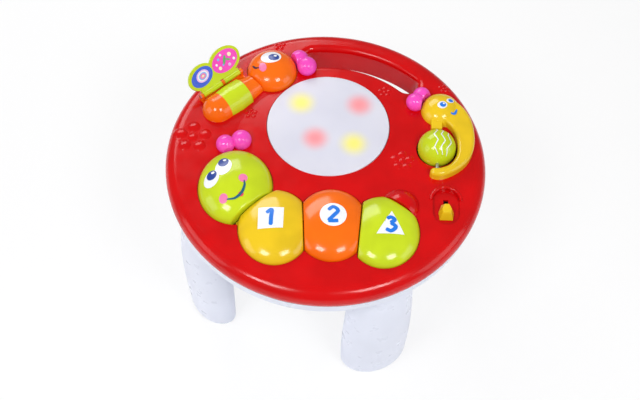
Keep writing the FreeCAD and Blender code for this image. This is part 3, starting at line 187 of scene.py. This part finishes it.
world = bpy.data.worlds.new("studio")
bpy.context.scene.world = world
world.use_nodes = True
world_tree = world.node_tree
sky = world_tree.nodes["Background"]
sky.inputs["Color"].default_value = (1, 1, 1, 1)
sky.inputs["Strength"].default_value = SKY_LIGHT
backdrop = world_tree.nodes.new("ShaderNodeBackground")
backdrop.inputs["Color"].default_value = (1, 1, 1, 1)
backdrop.inputs["Strength"].default_value = BACKDROP_LIGHT
rays = world_tree.nodes.new("ShaderNodeLightPath")
chooser = world_tree.nodes.new("ShaderNodeMixShader")
world_tree.links.new(rays.outputs["Is Camera Ray"], chooser.inputs["Fac"])
world_tree.links.new(sky.outputs[0], chooser.inputs[1])
world_tree.links.new(backdrop.outputs[0], chooser.inputs[2])
world_tree.links.new(chooser.outputs[0], world_tree.nodes["World Output"].inputs["Surface"])

view = bpy.context.scene.view_settings
view.view_transform = "Standard"

# %% [markdown]
# ## Moulded plastic
#
# Injection-moulded toys are glossy but never perfect: the colour drifts a little with the thickness of the
# wall, the gloss varies where small hands have rubbed, and the surface carries a very slight ripple. One
# function mixes these three from object-space noise, so every colour of plastic gets its own finish from
# a few numbers. The white plastic has its ripple turned off.

# %% A recipe for moulded plastic
def noise(tree, scale, detail, coords):
    """Smooth noise from 0 to 1; scale is in waves to the metre, roughly."""
    node = tree.nodes.new("ShaderNodeTexNoise")
    node.inputs["Scale"].default_value = scale
    node.inputs["Detail"].default_value = detail
    tree.links.new(coords, node.inputs["Vector"])
    return node.outputs["Fac"]


RAMP_START, RAMP_END = 0.35, 0.65
RIPPLE_DEPTH = 0.6 * MM


def ramp(tree, factor, low, high):
    """Turns a noise into a colour between low and high."""
    node = tree.nodes.new("ShaderNodeValToRGB")
    node.color_ramp.elements[0].position = RAMP_START
    node.color_ramp.elements[0].color = low
    node.color_ramp.elements[1].position = RAMP_END
    node.color_ramp.elements[1].color = high
    tree.links.new(factor, node.inputs["Fac"])
    return node.outputs["Color"]


def shade(colour, amount):
    """A colour made darker or brighter, with its alpha added."""
    return tuple(min(1.0, c * amount) for c in colour) + (1.0,)


def moulded_plastic(name, colour, gloss=0.16, ripple=0.05, drift=0.06, coat=0.12, shine=0.4):
    """Glossy moulded plastic: colour drift, uneven gloss and a faint ripple."""
    material, tree, shader = new_material(name)
    coords = tree.nodes.new("ShaderNodeTexCoord").outputs["Object"]
    tint = ramp(tree, noise(tree, 34, 2, coords), shade(colour, 1 - drift), shade(colour, 1 + drift))
    tree.links.new(tint, shader.inputs["Base Color"])
    rough = ramp(tree, noise(tree, 60, 3, coords), (gloss * 0.8,) * 3 + (1,), (gloss * 1.3,) * 3 + (1,))
    tree.links.new(rough, shader.inputs["Roughness"])
    bump = tree.nodes.new("ShaderNodeBump")
    bump.inputs["Strength"].default_value = ripple
    bump.inputs["Distance"].default_value = RIPPLE_DEPTH
    tree.links.new(noise(tree, 90, 2, coords), bump.inputs["Height"])
    tree.links.new(bump.outputs["Normal"], shader.inputs["Normal"])
    shader.inputs["IOR"].default_value = 1.5
    shader.inputs["Specular IOR Level"].default_value = shine
    shader.inputs["Coat Weight"].default_value = coat
    shader.inputs["Coat Roughness"].default_value = 0.06
    return material


RED = (0.60, 0.0015, 0.0025)
WHITE = (0.78, 0.81, 0.92)
YELLOW = (0.78, 0.52, 0.012)
ORANGE = (0.93, 0.155, 0.003)
LIME = (0.55, 0.68, 0.014)
PINK = (0.90, 0.075, 0.52)
BLUE = (0.05, 0.12, 0.66)

plastics = {
    "red": moulded_plastic("red_plastic", RED, gloss=0.17, ripple=0.06, coat=0.05, shine=0.32),
    "white": moulded_plastic("white_plastic", WHITE, gloss=0.32, ripple=0.0, drift=0.012, coat=0.05),
    "yellow": moulded_plastic("yellow_plastic", YELLOW, gloss=0.15),
    "orange": moulded_plastic("orange_plastic", ORANGE, gloss=0.15),
    "lime": moulded_plastic("lime_plastic", LIME, gloss=0.15),
    "pink": moulded_plastic("pink_plastic", PINK, gloss=0.2),
    "blue": moulded_plastic("blue_plastic", BLUE, gloss=0.25),
    "black": moulded_plastic("black_plastic", (0.02, 0.02, 0.022), gloss=0.5, coat=0.0),
}
print("plastics:", ", ".join(plastics))

# %% [markdown]
# ## Metal, circuit board and the rest of the works
#
# Under the deck are screws, springy contacts, boards and batteries. They show through the screw holes and
# the battery door, and in any view of the pieces taken apart, so they get honest finishes too.

# %% Finishes of the works
def metal(name, colour, roughness, stretch):
    """Bright metal with fine lines along one direction."""
    material, tree, shader = new_material(name)
    coords = tree.nodes.new("ShaderNodeTexCoord").outputs["Object"]
    scale = tree.nodes.new("ShaderNodeMapping")
    scale.inputs["Scale"].default_value = stretch
    tree.links.new(coords, scale.inputs["Vector"])
    lines = noise(tree, 300, 2, scale.outputs["Vector"])
    rough = ramp(tree, lines, (roughness * 0.7,) * 3 + (1,), (roughness * 1.4,) * 3 + (1,))
    tree.links.new(rough, shader.inputs["Roughness"])
    tree.links.new(ramp(tree, lines, shade(colour, 0.9), shade(colour, 1.08)), shader.inputs["Base Color"])
    shader.inputs["Metallic"].default_value = 1.0
    return material


def circuit_board():
    """Green lacquer over copper tracks, drawn by a brick pattern."""
    material, tree, shader = new_material("circuit_board")
    coords = tree.nodes.new("ShaderNodeTexCoord").outputs["Object"]
    tracks = tree.nodes.new("ShaderNodeTexBrick")
    tracks.inputs["Scale"].default_value = 90
    tracks.inputs["Mortar Size"].default_value = 0.035
    tracks.inputs["Color1"].default_value = (0.012, 0.17, 0.05, 1)
    tracks.inputs["Color2"].default_value = (0.014, 0.20, 0.06, 1)
    tracks.inputs["Mortar"].default_value = (0.03, 0.34, 0.09, 1)
    tree.links.new(coords, tracks.inputs["Vector"])
    tree.links.new(tracks.outputs["Color"], shader.inputs["Base Color"])
    shader.inputs["Roughness"].default_value = 0.35
    return material


def silicone():
    """Cloudy rubber that lets a little light in."""
    material, tree, shader = new_material("silicone_rubber")
    coords = tree.nodes.new("ShaderNodeTexCoord").outputs["Object"]
    tree.links.new(ramp(tree, noise(tree, 120, 3, coords), (0.55, 0.56, 0.58, 1), (0.68, 0.69, 0.71, 1)),
                   shader.inputs["Base Color"])
    shader.inputs["Roughness"].default_value = 0.55
    shader.inputs["Subsurface Weight"].default_value = 0.2
    return material


works = {
    "steel": metal("zinc_plated_steel", (0.62, 0.63, 0.66), 0.32, (1, 1, 6)),
    "contact": metal("nickel_contact", (0.74, 0.72, 0.66), 0.22, (1, 6, 1)),
    "board": circuit_board(),
    "silicone": silicone(),
    "jacket": moulded_plastic("cell_jacket", (0.04, 0.10, 0.33), gloss=0.28, coat=0.4),
    "cone": moulded_plastic("speaker_paper", (0.035, 0.035, 0.04), gloss=0.8, ripple=0.5, coat=0.0),
    "red_lamp": moulded_plastic("red_lamp", (0.85, 0.05, 0.04), gloss=0.1),
    "yellow_lamp": moulded_plastic("yellow_lamp", (0.95, 0.78, 0.05), gloss=0.1),
}
print("finishes of the works:", ", ".join(works))

# %% [markdown]
# ## The drum pad
#
# The big round pad is a thin milky moulding with four lamps under it. The picture shows it pale lavender,
# with soft yellow and red patches where the lamps shine through. We paint those patches as round falloffs
# around each lamp's own place, read from the frame, so they always sit over the lamps.

# %% Milky pad with painted lamp light shining through
def lamp_places(node):
    """Middle of each lamp in a node, found by splitting its vertices by place."""
    points = [v.co.copy() for v in nodes[node].data.vertices]
    first = points[0]
    far = max(points, key=lambda p: (p - first).length)
    groups = ([], [])
    for p in points:
        groups[0 if (p - first).length < (p - far).length else 1].append(p)
    middles = []
    for group in groups:
        low = Vector(map(min, zip(*group)))
        high = Vector(map(max, zip(*group)))
        middles.append((low + high) / 2)
    return middles


def spot(tree, coords, centre, radius):
    """Soft round patch: one in the middle, nothing beyond the radius."""
    shift = tree.nodes.new("ShaderNodeVectorMath")
    shift.operation = "DISTANCE"
    shift.inputs[1].default_value = (centre.x, centre.y, centre.z)
    tree.links.new(coords, shift.inputs[0])
    fade = tree.nodes.new("ShaderNodeMapRange")
    fade.interpolation_type = "SMOOTHERSTEP"
    fade.inputs["From Min"].default_value = radius
    fade.inputs["From Max"].default_value = 0.0
    fade.inputs["To Min"].default_value = 0.0
    fade.inputs["To Max"].default_value = 1.0
    tree.links.new(shift.outputs["Value"], fade.inputs["Value"])
    return fade.outputs["Result"]


def mix_colour(tree, factor, under, over):
    """Lays a fixed colour over another one, by a factor."""
    node = tree.nodes.new("ShaderNodeMix")
    node.data_type = "RGBA"
    tree.links.new(factor, node.inputs[0])
    tree.links.new(under, node.inputs[6])
    node.inputs[7].default_value = over
    return node.outputs[2]


LAMP_GLOW_R = 21 * MM
# Colours of the lamp light painted onto the pad; the lamps themselves give no light.
LAMP_GLOW_COLOURS = (("lamps_yellow", (0.93, 0.86, 0.22, 1)), ("lamps_red", (0.93, 0.33, 0.36, 1)))


def milky_pad():
    """Pale lavender moulding with a patch of painted lamp light over each lamp."""
    material, tree, shader = new_material("milky_pad")
    coords = tree.nodes.new("ShaderNodeTexCoord").outputs["Object"]
    colour = ramp(tree, noise(tree, 14, 2, coords), (0.66, 0.66, 0.76, 1), (0.72, 0.72, 0.81, 1))
    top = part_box("drum_pad")[1][2]
    # Painted light: each lamp's glow through the pad is painted into the pad's colour as a soft round patch.
    for node, tint in LAMP_GLOW_COLOURS:
        for lamp in lamp_places(node):
            centre = Vector((lamp.x, lamp.y, top))
            colour = mix_colour(tree, spot(tree, coords, centre, LAMP_GLOW_R), colour, tint)
    tree.links.new(colour, shader.inputs["Base Color"])
    grain = tree.nodes.new("ShaderNodeBump")
    grain.inputs["Strength"].default_value = 0.08
    grain.inputs["Distance"].default_value = 0.0003
    tree.links.new(noise(tree, 900, 2, coords), grain.inputs["Height"])
    tree.links.new(grain.outputs["Normal"], shader.inputs["Normal"])
    shader.inputs["Roughness"].default_value = 0.32
    shader.inputs["Subsurface Weight"].default_value = 0.35
    shader.inputs["Subsurface Radius"].default_value = (0.006, 0.006, 0.007)
    shader.inputs["Subsurface Scale"].default_value = 0.5
    return material


pad_material = milky_pad()
lamps_found = lamp_places("lamps_red") + lamp_places("lamps_yellow")
print("pad lamps:", [[round(c, 3) for c in p] for p in lamps_found])

# %% [markdown]
# ## Dress the solid model
#
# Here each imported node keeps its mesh. A table of names gives every one its finish, and the script stops
# with a plain message if a node has been forgotten.

# %% Finish for every node
FINISH = {
    "top_shell": plastics["red"],
    "bottom_shell": plastics["white"],
    "key_1": plastics["yellow"],
    "key_2": plastics["orange"],
    "key_3": plastics["lime"],
    "worm_head": plastics["lime"],
    "worm_antennae": plastics["pink"],
    "bee_head": plastics["orange"],
    "bee_body": plastics["orange"],
    "bee_band": plastics["lime"],
    "bee_antennae": plastics["pink"],
    "wing_flap": plastics["lime"],
    "wing_inlay_lower": plastics["blue"],
    "wing_inlay_upper": plastics["pink"],
    "snail_body": plastics["yellow"],
    "snail_antennae": plastics["pink"],
    "spin_ball": plastics["lime"],
    "mode_knob": plastics["yellow"],
    "drum_pad": pad_material,
    "battery_door": plastics["white"],
    "lamp_reflector": plastics["white"],
    "ball_well": plastics["black"],
    "slide_switch": plastics["black"],
    "board_chips": plastics["black"],
    "speaker_cone": works["cone"],
    "speaker_frame": works["steel"],
    "speaker_magnet": works["steel"],
    "battery_cells": works["jacket"],
    "battery_contacts": works["contact"],
    "ball_axle": works["steel"],
    "wing_pin": works["steel"],
    "door_screw": works["steel"],
    "housing_screws": works["steel"],
    "leg_screws": works["steel"],
    "lamps_red": works["red_lamp"],
    "lamps_yellow": works["yellow_lamp"],
}


def finish_of(name):
    """The table's finish for a node, or else the one for its family."""
    if name in FINISH:
        return FINISH[name]
    if name.startswith("leg_"):
        return plastics["white"]
    if name.endswith("_board"):
        return works["board"]
    if "dome" in name:
        return works["silicone"]
    raise SystemExit("no finish for node " + name)


for name, node in nodes.items():
    if not node.material_slots:
        node.data.materials.append(finish_of(name))
    for socket in node.material_slots:
        socket.material = finish_of(name)
print("dressed", len(nodes), "nodes")

# %% [markdown]
# ## Printing on a curved dome
#
# The badges, eyes, cheeks and smiles are pad-printed or heat-pressed onto domes. A texture would do it, but
# thin shapes laid on the real surface stay sharp at any distance and show their own edge. One helper
# takes a flat outline, fills it with a fine grid, and drops every point straight down onto the solid
# below with a ray, then lifts it by a hair.

# %% Lay a flat outline on a solid
LIFT = 0.18 * MM
GRID, DIGIT_GRID = 1.6 * MM, 2.2 * MM
RAY_ROOM = 10 * MM


def add_piece(name, mesh, body):
    """Puts a mesh in the scene as a piece that rides a body."""
    piece = bpy.data.objects.new(name, mesh)
    bpy.context.scene.collection.objects.link(piece)
    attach(piece, body)
    return piece


def outline_mesh(name, outline, step):
    """Flat mesh inside an outline, cut into small squares so that it can bend."""
    bm = bmesh.new()
    loop = [bm.verts.new((x, y, 0)) for x, y in outline]
    face = bm.faces.new(loop)
    if face.normal.z < 0 or face.calc_area() == 0:
        face.normal_flip()
    low_x, high_x = min(p[0] for p in outline), max(p[0] for p in outline)
    low_y, high_y = min(p[1] for p in outline), max(p[1] for p in outline)
    for axis, low, high in ((0, low_x, high_x), (1, low_y, high_y)):
        cut = low + step
        while cut < high:
            spot_co = (cut, 0, 0) if axis == 0 else (0, cut, 0)
            direction = (1, 0, 0) if axis == 0 else (0, 1, 0)
            geometry = bm.verts[:] + bm.edges[:] + bm.faces[:]
            bmesh.ops.bisect_plane(bm, geom=geometry, plane_co=spot_co, plane_no=direction)
            cut += step
    bmesh.ops.triangulate(bm, faces=[f for f in bm.faces if len(f.verts) > 4])
    mesh = bpy.data.meshes.new(name)
    bm.to_mesh(mesh)
    bm.free()
    return mesh


def lay_on(name, node, outline, material, body, lift=LIFT, step=GRID):
    """Drops an outline, given in plan, onto the top of a node and rides it on the node's body."""
    mesh = outline_mesh(name, outline, step)
    below = nodes[node]
    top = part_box(node)[1][2]
    for v in mesh.vertices:
        above = Vector((v.co.x, v.co.y, top + RAY_ROOM))
        hit, spot_hit, normal, _ = below.ray_cast(above, Vector((0, 0, -1)))
        if not hit:
            beside = Vector((v.co.x, v.co.y, top - RAY_ROOM))
            _, spot_hit, normal, _ = below.closest_point_on_mesh(beside)
        v.co = spot_hit + normal * lift
    mesh.materials.append(material)
    for p in mesh.polygons:
        p.use_smooth = True
    return add_piece(name, mesh, body)


def oval(cx, cy, a, b, turn=0.0, count=36):
    """Outline of an oval in plan, sizes in millimetres, turned anticlockwise in degrees."""
    t = math.radians(turn)
    points = []
    for i in range(count):
        u = 2 * math.pi * i / count
        x, y = a * math.cos(u), b * math.sin(u)
        across, up_plan = x * math.cos(t) - y * math.sin(t), x * math.sin(t) + y * math.cos(t)
        points.append(((cx + across) * MM, (cy + up_plan) * MM))
    return points


def band(points, width, count, share_at):
    """Outline of a band along a smooth line; share_at gives its share of the width at each place."""
    line = smooth_line(points, count)
    last = len(line) - 1
    left, right_side = [], []
    for i, p in enumerate(line):
        along = (line[min(last, i + 1)] - line[max(0, i - 1)]).normalized()
        side = Vector((-along.y, along.x)) * (width / 2 * share_at(i, last))
        left.append(p + side)
        right_side.append(p - side)
    return [(p.x * MM, p.y * MM) for p in right_side + left[::-1]]


def ribbon(points, width, count=30):
    """A band that is thinner at both ends."""
    return band(points, width, count, lambda i, last: 0.45 + 0.55 * math.sin(math.pi * i / last))


def smooth_line(points, count):
    """Points on a Catmull-Rom curve through the given places."""
    pts = [Vector(p) for p in points]
    pts = [pts[0] * 2 - pts[1]] + pts + [pts[-1] * 2 - pts[-2]]
    line = []
    spans = len(pts) - 3
    for i in range(count + 1):
        u = i / count * spans
        k = min(int(u), spans - 1)
        t = u - k
        a, b, c, d = pts[k:k + 4]
        line.append(0.5 * ((2 * b) + (c - a) * t + (2 * a - 5 * b + 4 * c - d) * t * t
                           + (3 * b - a - 3 * c + d) * t ** 3))
    return line


def ink(name, colour, rough=0.3):
    """Printed ink: nearly even colour with a faint grain, slightly duller than the plastic."""
    material, tree, shader = new_material(name)
    coords = tree.nodes.new("ShaderNodeTexCoord").outputs["Object"]
    tree.links.new(ramp(tree, noise(tree, 700, 2, coords), shade(colour, 0.95), shade(colour, 1.04)),
                   shader.inputs["Base Color"])
    shader.inputs["Roughness"].default_value = rough
    shader.inputs["Coat Weight"].default_value = 0.3
    shader.inputs["Coat Roughness"].default_value = 0.08
    return material


inks = {
    "white": ink("white_ink", (0.88, 0.90, 0.93)),
    "navy": ink("navy_ink", (0.012, 0.05, 0.30)),
    "blue": ink("blue_ink", (0.012, 0.19, 0.76)),
    "teal": ink("teal_ink", (0.01, 0.12, 0.20)),
    "pink": ink("pink_ink", (0.88, 0.20, 0.42)),
    "rose": ink("rose_ink", (0.80, 0.06, 0.12)),
    "dark": ink("dark_ink", (0.05, 0.02, 0.05)),
    "sky": ink("sky_ink", (0.25, 0.45, 0.90)),
    "lilac": ink("lilac_ink", (0.80, 0.50, 0.85)),
    "green": ink("green_ink", (0.10, 0.45, 0.12)),
    "cream": ink("cream_ink", (0.90, 0.85, 0.55)),
}
print("inks:", ", ".join(inks))

# %% [markdown]
# ## The worm's face
#
# The lime head is the biggest button. Two white ovals with dark-blue pupils look up to the left, and two
# pink cheeks frame a long curved smile with a red tongue. Each mark is an outline in plan, so it drapes
# over the dome.

# %% Worm's eyes, cheeks and smile
def marks(prefix, node, body, items):
    """Lays a list of (name, outline, ink, layer) on a node, upper layers a hair higher."""
    made = []
    for name, outline, colour, layer in items:
        made.append(lay_on(prefix + "_" + name, node, outline, inks[colour], body, LIFT * (1 + layer)))
    return made


worm_face = marks("worm", "worm_head", "worm_button", [
    ("eye_back", oval(-102, -31, 8.0, 10.6, -14), "white", 0),
    ("eye_front", oval(-113, -44.5, 7.4, 10.2, -14), "white", 0),
    ("pupil_back", oval(-102.5, -25.2, 5.2, 5.9, -14), "navy", 1),
    ("pupil_front", oval(-113.0, -40.5, 4.9, 5.9, -14), "navy", 1),
    ("glint_back", oval(-101.4, -22.6, 1.8, 1.5, 10, 16), "white", 2),
    ("glint_front", oval(-112.0, -37.8, 1.8, 1.5, 10, 16), "white", 2),
    ("cheek_back", oval(-81.5, -44.5, 4.5, 4.7), "pink", 0),
    ("cheek_front", oval(-99.5, -67, 4.3, 4.9), "pink", 0),
    ("tongue", oval(-82.5, -62.0, 2.9, 2.5, 40, 20), "rose", 0),
    ("smile", ribbon([(-96, -68), (-88, -66.5), (-82, -60.5), (-79.6, -52.5), (-80.2, -47.0)], 2.7),
     "teal", 1),
])
print("worm marks:", len(worm_face))

# %% [markdown]
# ## Bee and snail faces
#
# The same helper prints the bee's eye, cheek and smile, and the snail's two eyes and blue smile.

# %% Faces of the bee and the snail
bee_face = marks("bee", "bee_head", "bee_button", [
    ("eye", oval(-62.5, 113.5, 11.0, 8.6, 14), "white", 0),
    ("pupil", oval(-59.5, 113.0, 5.8, 4.9, 10), "navy", 1),
    ("glint", oval(-58.0, 114.8, 1.7, 1.4, 0, 16), "white", 2),
    ("cheek", oval(-70.5, 100.0, 3.8, 5.4, 20), "pink", 0),
    ("smile", ribbon([(-81.5, 104.5), (-78.5, 100.8), (-74.2, 99.8)], 1.9, 14), "dark", 1),
])
snail_face = marks("snail", "snail_body", "housing", [
    ("eye_left", oval(119.0, 60.0, 5.2, 4.3, 15), "white", 0),
    ("eye_right", oval(127.5, 67.0, 4.2, 3.2, 25), "white", 0),
    ("pupil_left", oval(119.6, 60.2, 3.2, 3.0), "blue", 1),
    ("pupil_right", oval(127.9, 67.0, 2.5, 2.2), "blue", 1),
    ("glint_left", oval(120.4, 61.4, 1.1, 0.9, 0, 14), "white", 2),
    ("smile", ribbon([(128.0, 52.5), (132.0, 52.0), (134.5, 57.5)], 3.0, 14), "blue", 1),
])
print("bee marks:", len(bee_face), "snail marks:", len(snail_face))

# %% [markdown]
# ## Printed labels on the wing
#
# Each lobe of the wing carries a round label in a shallow recess. Ours have a plain generic design: rings
# on the blue one, dots and a leaf on the pink one. The labels are flat, so their marks need no ray: we
# set them out along the hinge and across the blade, and tilt them with the wing's own angle.

# %% Marks on the two labels
WING_TILT = math.radians(42.0)
LABEL_UP = 1.7 * MM
wing_joint = next(j for j in frame["record"]["behaviour"]["joints"] if j["name"] == "wing_swing")
hinge_along = Vector(wing_joint["axis"]).normalized()
hinge_out = Vector((-hinge_along.y, hinge_along.x, 0))
blade_out = hinge_out * math.cos(WING_TILT) + Vector((0, 0, 1)) * math.sin(WING_TILT)
blade_up = hinge_along.cross(blade_out)
hinge_middle = Vector(wing_joint["pos_m"])


def wing_mark(name, along, out, a, b, turn, colour, layer):
    """Oval mark on a label: place along the hinge and out from it, half sizes and turn."""
    mesh = bpy.data.meshes.new(name)
    height = blade_up * (LABEL_UP + LIFT * layer)
    corners = [hinge_middle + hinge_along * x + blade_out * y + height
               for x, y in oval(along, out, a, b, turn, 40)]
    mesh.from_pydata(corners, [], [tuple(range(len(corners)))])
    mesh.materials.append(inks[colour])
    return add_piece(name, mesh, "wing")


RINGS = (("ring_outer", 8.0, 6.0, "lilac"), ("ring_white", 6.4, 4.8, "white"),
         ("ring_blue", 4.9, 3.6, "sky"), ("ring_middle", 3.4, 2.5, "pink"), ("ring_dot", 1.6, 1.2, "cream"))
for layer, (name, a, b, colour) in enumerate(RINGS, 1):
    wing_mark("wing_" + name, -13.0, 17.5, a, b, 12, colour, layer)
DOTS = ((8.5, 14.0, 1.9, "cream"), (11.0, 23.0, 1.5, "sky"), (25.0, 22.0, 2.2, "cream"),
        (27.5, 15.5, 1.5, "white"), (15.5, 26.0, 1.3, "white"), (20.0, 12.5, 1.7, "lilac"),
        (6.5, 19.0, 1.3, "white"), (13.5, 15.5, 1.1, "sky"))
for number, (along, out, size, colour) in enumerate(DOTS, 1):
    wing_mark("wing_dot_%d" % number, along, out, size, size, 0, colour, 1)
wing_mark("wing_leaf", 17.0, 19.5, 5.0, 1.5, 55, "green", 2)
wing_mark("wing_leaf_tip", 21.0, 18.0, 3.0, 1.0, -30, "green", 2)
print("wing marks:", len(RINGS) + len(DOTS) + 2)

# %% [markdown]
# ## Number badges on the keys
#
# Each key carries a white badge: a square, a disc and a triangle. Plain numbers tell the child which key
# is which. We draw the digits as ribbons, thick and round like a child's letters.

# %% Badges and numbers
def polygon(corners):
    """Outline in metres from corners in millimetres."""
    return [(x * MM, y * MM) for x, y in corners]


SQUARE = polygon([(-64.5, -74.0), (-39.5, -73.0), (-39.5, -96.5), (-64.0, -98.5)])
DISC = oval(9, -79.5, 13.2, 13.4)
TRIANGLE = polygon([(66.5, -72.0), (79.0, -98.0), (51.5, -99.0)])
badges = [
    lay_on("badge_square", "key_1", SQUARE, inks["white"], "key_1_button"),
    lay_on("badge_disc", "key_2", DISC, inks["white"], "key_2_button"),
    lay_on("badge_triangle", "key_3", TRIANGLE, inks["white"], "key_3_button"),
]


def fat_ribbon(points, width, count):
    """A band of even width with round-looking ends."""
    return band(points, width, count, lambda i, last: min(1.0, 0.62 + 0.38 * min(i, last - i)))


DIGIT_WIDTH, DIGIT_STEPS = 4.0, 18
DIGITS = {
    "one": ("key_1", "key_1_button", [[(-56.5, -80.5), (-51.5, -76.5), (-51.5, -85.5), (-51.5, -94.5)]]),
    "two": ("key_2", "key_2_button", [
        [(4.0, -75.0), (8.8, -70.8), (13.6, -75.0), (9.6, -81.0), (4.2, -87.2)],
        [(4.2, -87.2), (9.2, -87.2), (14.2, -86.6)]]),
    "three": ("key_3", "key_3_button", [
        [(61.8, -82.0), (65.6, -79.8), (69.2, -82.8), (65.2, -86.6)],
        [(65.2, -86.6), (70.4, -90.4), (66.0, -95.4), (60.6, -93.6)]]),
}
for digit, (node, body, strokes) in DIGITS.items():
    for number, stroke in enumerate(strokes, 1):
        outline = fat_ribbon(stroke, DIGIT_WIDTH, DIGIT_STEPS)
        lay_on("digit_%s_%d" % (digit, number), node, outline, inks["blue"], body, LIFT * 2, DIGIT_GRID)
print("badges:", len(badges), "digits:", len(DIGITS))

# %% [markdown]
# ## Zigzags on the spinning ball
#
# Three white zigzags run over the ball from the snail's head to its tail. They bend with the sphere, so we
# build them straight on it: a zigzag in longitude and latitude, turned into a narrow raised band.

# %% Zigzag bands
ball_low, ball_high = (Vector(c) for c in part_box("spin_ball"))
ball_middle = (ball_low + ball_high) / 2
BALL_R = (ball_high.z - ball_low.z) / 2


def on_ball(turn, tilt, lift):
    """Point on the ball: turn goes round the axle (along Y), tilt goes from front to back."""
    r = BALL_R + lift
    a, b = math.radians(turn), math.radians(tilt)
    round_axle = r * math.cos(b)
    return ball_middle + Vector((round_axle * math.sin(a), r * math.sin(b), round_axle * math.cos(a)))


TEETH, STEPS_A_TOOTH = 5, 8
FROM_TILT, TO_TILT = -52, 58
SWING, HALF_WIDTH = 6.0, 1.9


def zigzag(name, middle_turn):
    """White band that swings to and fro about one turn of the ball, all in degrees."""
    verts, faces = [], []
    steps = TEETH * STEPS_A_TOOTH
    for i in range(steps + 1):
        t = i / steps
        tilt = FROM_TILT + (TO_TILT - FROM_TILT) * t
        wave = abs(((t * TEETH) % 2) - 1) * 2 - 1
        turn = middle_turn + wave * SWING
        thin = HALF_WIDTH * (0.5 + 0.5 * math.sin(math.pi * t))
        for side in (-1, 1):
            verts.append(on_ball(turn + side * thin / math.cos(math.radians(tilt)), tilt, LIFT))
        if i:
            k = 2 * i
            faces.append((k - 2, k, k + 1, k - 1))
    mesh = bpy.data.meshes.new(name)
    mesh.from_pydata(verts, [], faces)
    mesh.materials.append(inks["white"])
    for p in mesh.polygons:
        p.use_smooth = True
    return add_piece(name, mesh, "ball")


for number, turn in enumerate((-8, 14, 36), 1):
    zigzag("ball_zigzag_%d" % number, turn)
print("ball radius", round(BALL_R, 4))

# %% [markdown]
# ## Rubber domes that give way
#
# Every key and head stands on a silicone dome over its switch. On the real toy the thin cone buckles when the
# button goes down and springs back after it. A solid model can't buckle, so each dome is turned again here
# from its profile, with rolled corners and an open hollow. Its board stays where it is.

# %% Rubber domes under the buttons
DOME_PROFILE = ((0, 5.2), (2.35, 5.18), (2.65, 5.05), (2.8, 4.8), (3.35, 3.6), (4.1, 1.75), (4.45, 1.1),
                (4.8, 0.86), (5.6, 0.8), (5.85, 0.72), (5.98, 0.5), (6.0, 0), (3.6, 0), (3.25, 0.5),
                (2.2, 2.0), (1.75, 2.62), (1.45, 2.8), (0, 2.8))
DOME_TURNS = 48
SPRINGS = {"key_dome_1": "key_1_press", "key_dome_2": "key_2_press", "key_dome_3": "key_3_press",
           "worm_dome": "worm_press", "bee_dome": "bee_press"}


def rubber_dome(name, x, y, z):
    """A silicone dome turned from its profile, standing on its board at z."""
    verts, rings = [], []
    for r, h in DOME_PROFILE:
        ring = []
        for k in range(DOME_TURNS if r else 1):
            angle = 2 * math.pi * k / DOME_TURNS
            ring.append(len(verts))
            verts.append((x + r * MM * math.cos(angle), y + r * MM * math.sin(angle), z + h * MM))
        rings.append(ring * DOME_TURNS if len(ring) == 1 else ring)
    faces = []
    for upper, lower in zip(rings, rings[1:]):
        for k in range(DOME_TURNS):
            n = (k + 1) % DOME_TURNS
            corners = [upper[k], lower[k], lower[n], upper[n]]
            faces.append([c for i, c in enumerate(corners) if c not in corners[:i]])
    mesh = bpy.data.meshes.new(name)
    mesh.from_pydata(verts, [], faces)
    mesh.materials.append(works["silicone"])
    for p in mesh.polygons:
        p.use_smooth = True
    mesh.set_sharp_from_angle(angle=math.radians(50))
    return add_piece(name, mesh, "housing")


for name, joint in SPRINGS.items():
    low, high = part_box(name)
    foot = ((low[0] + high[0]) / 2, (low[1] + high[1]) / 2, low[2])
    dome = rubber_dome(name + "_rubber", *foot)
    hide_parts(name)
    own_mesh(dome)
print("rubber domes:", len(SPRINGS))
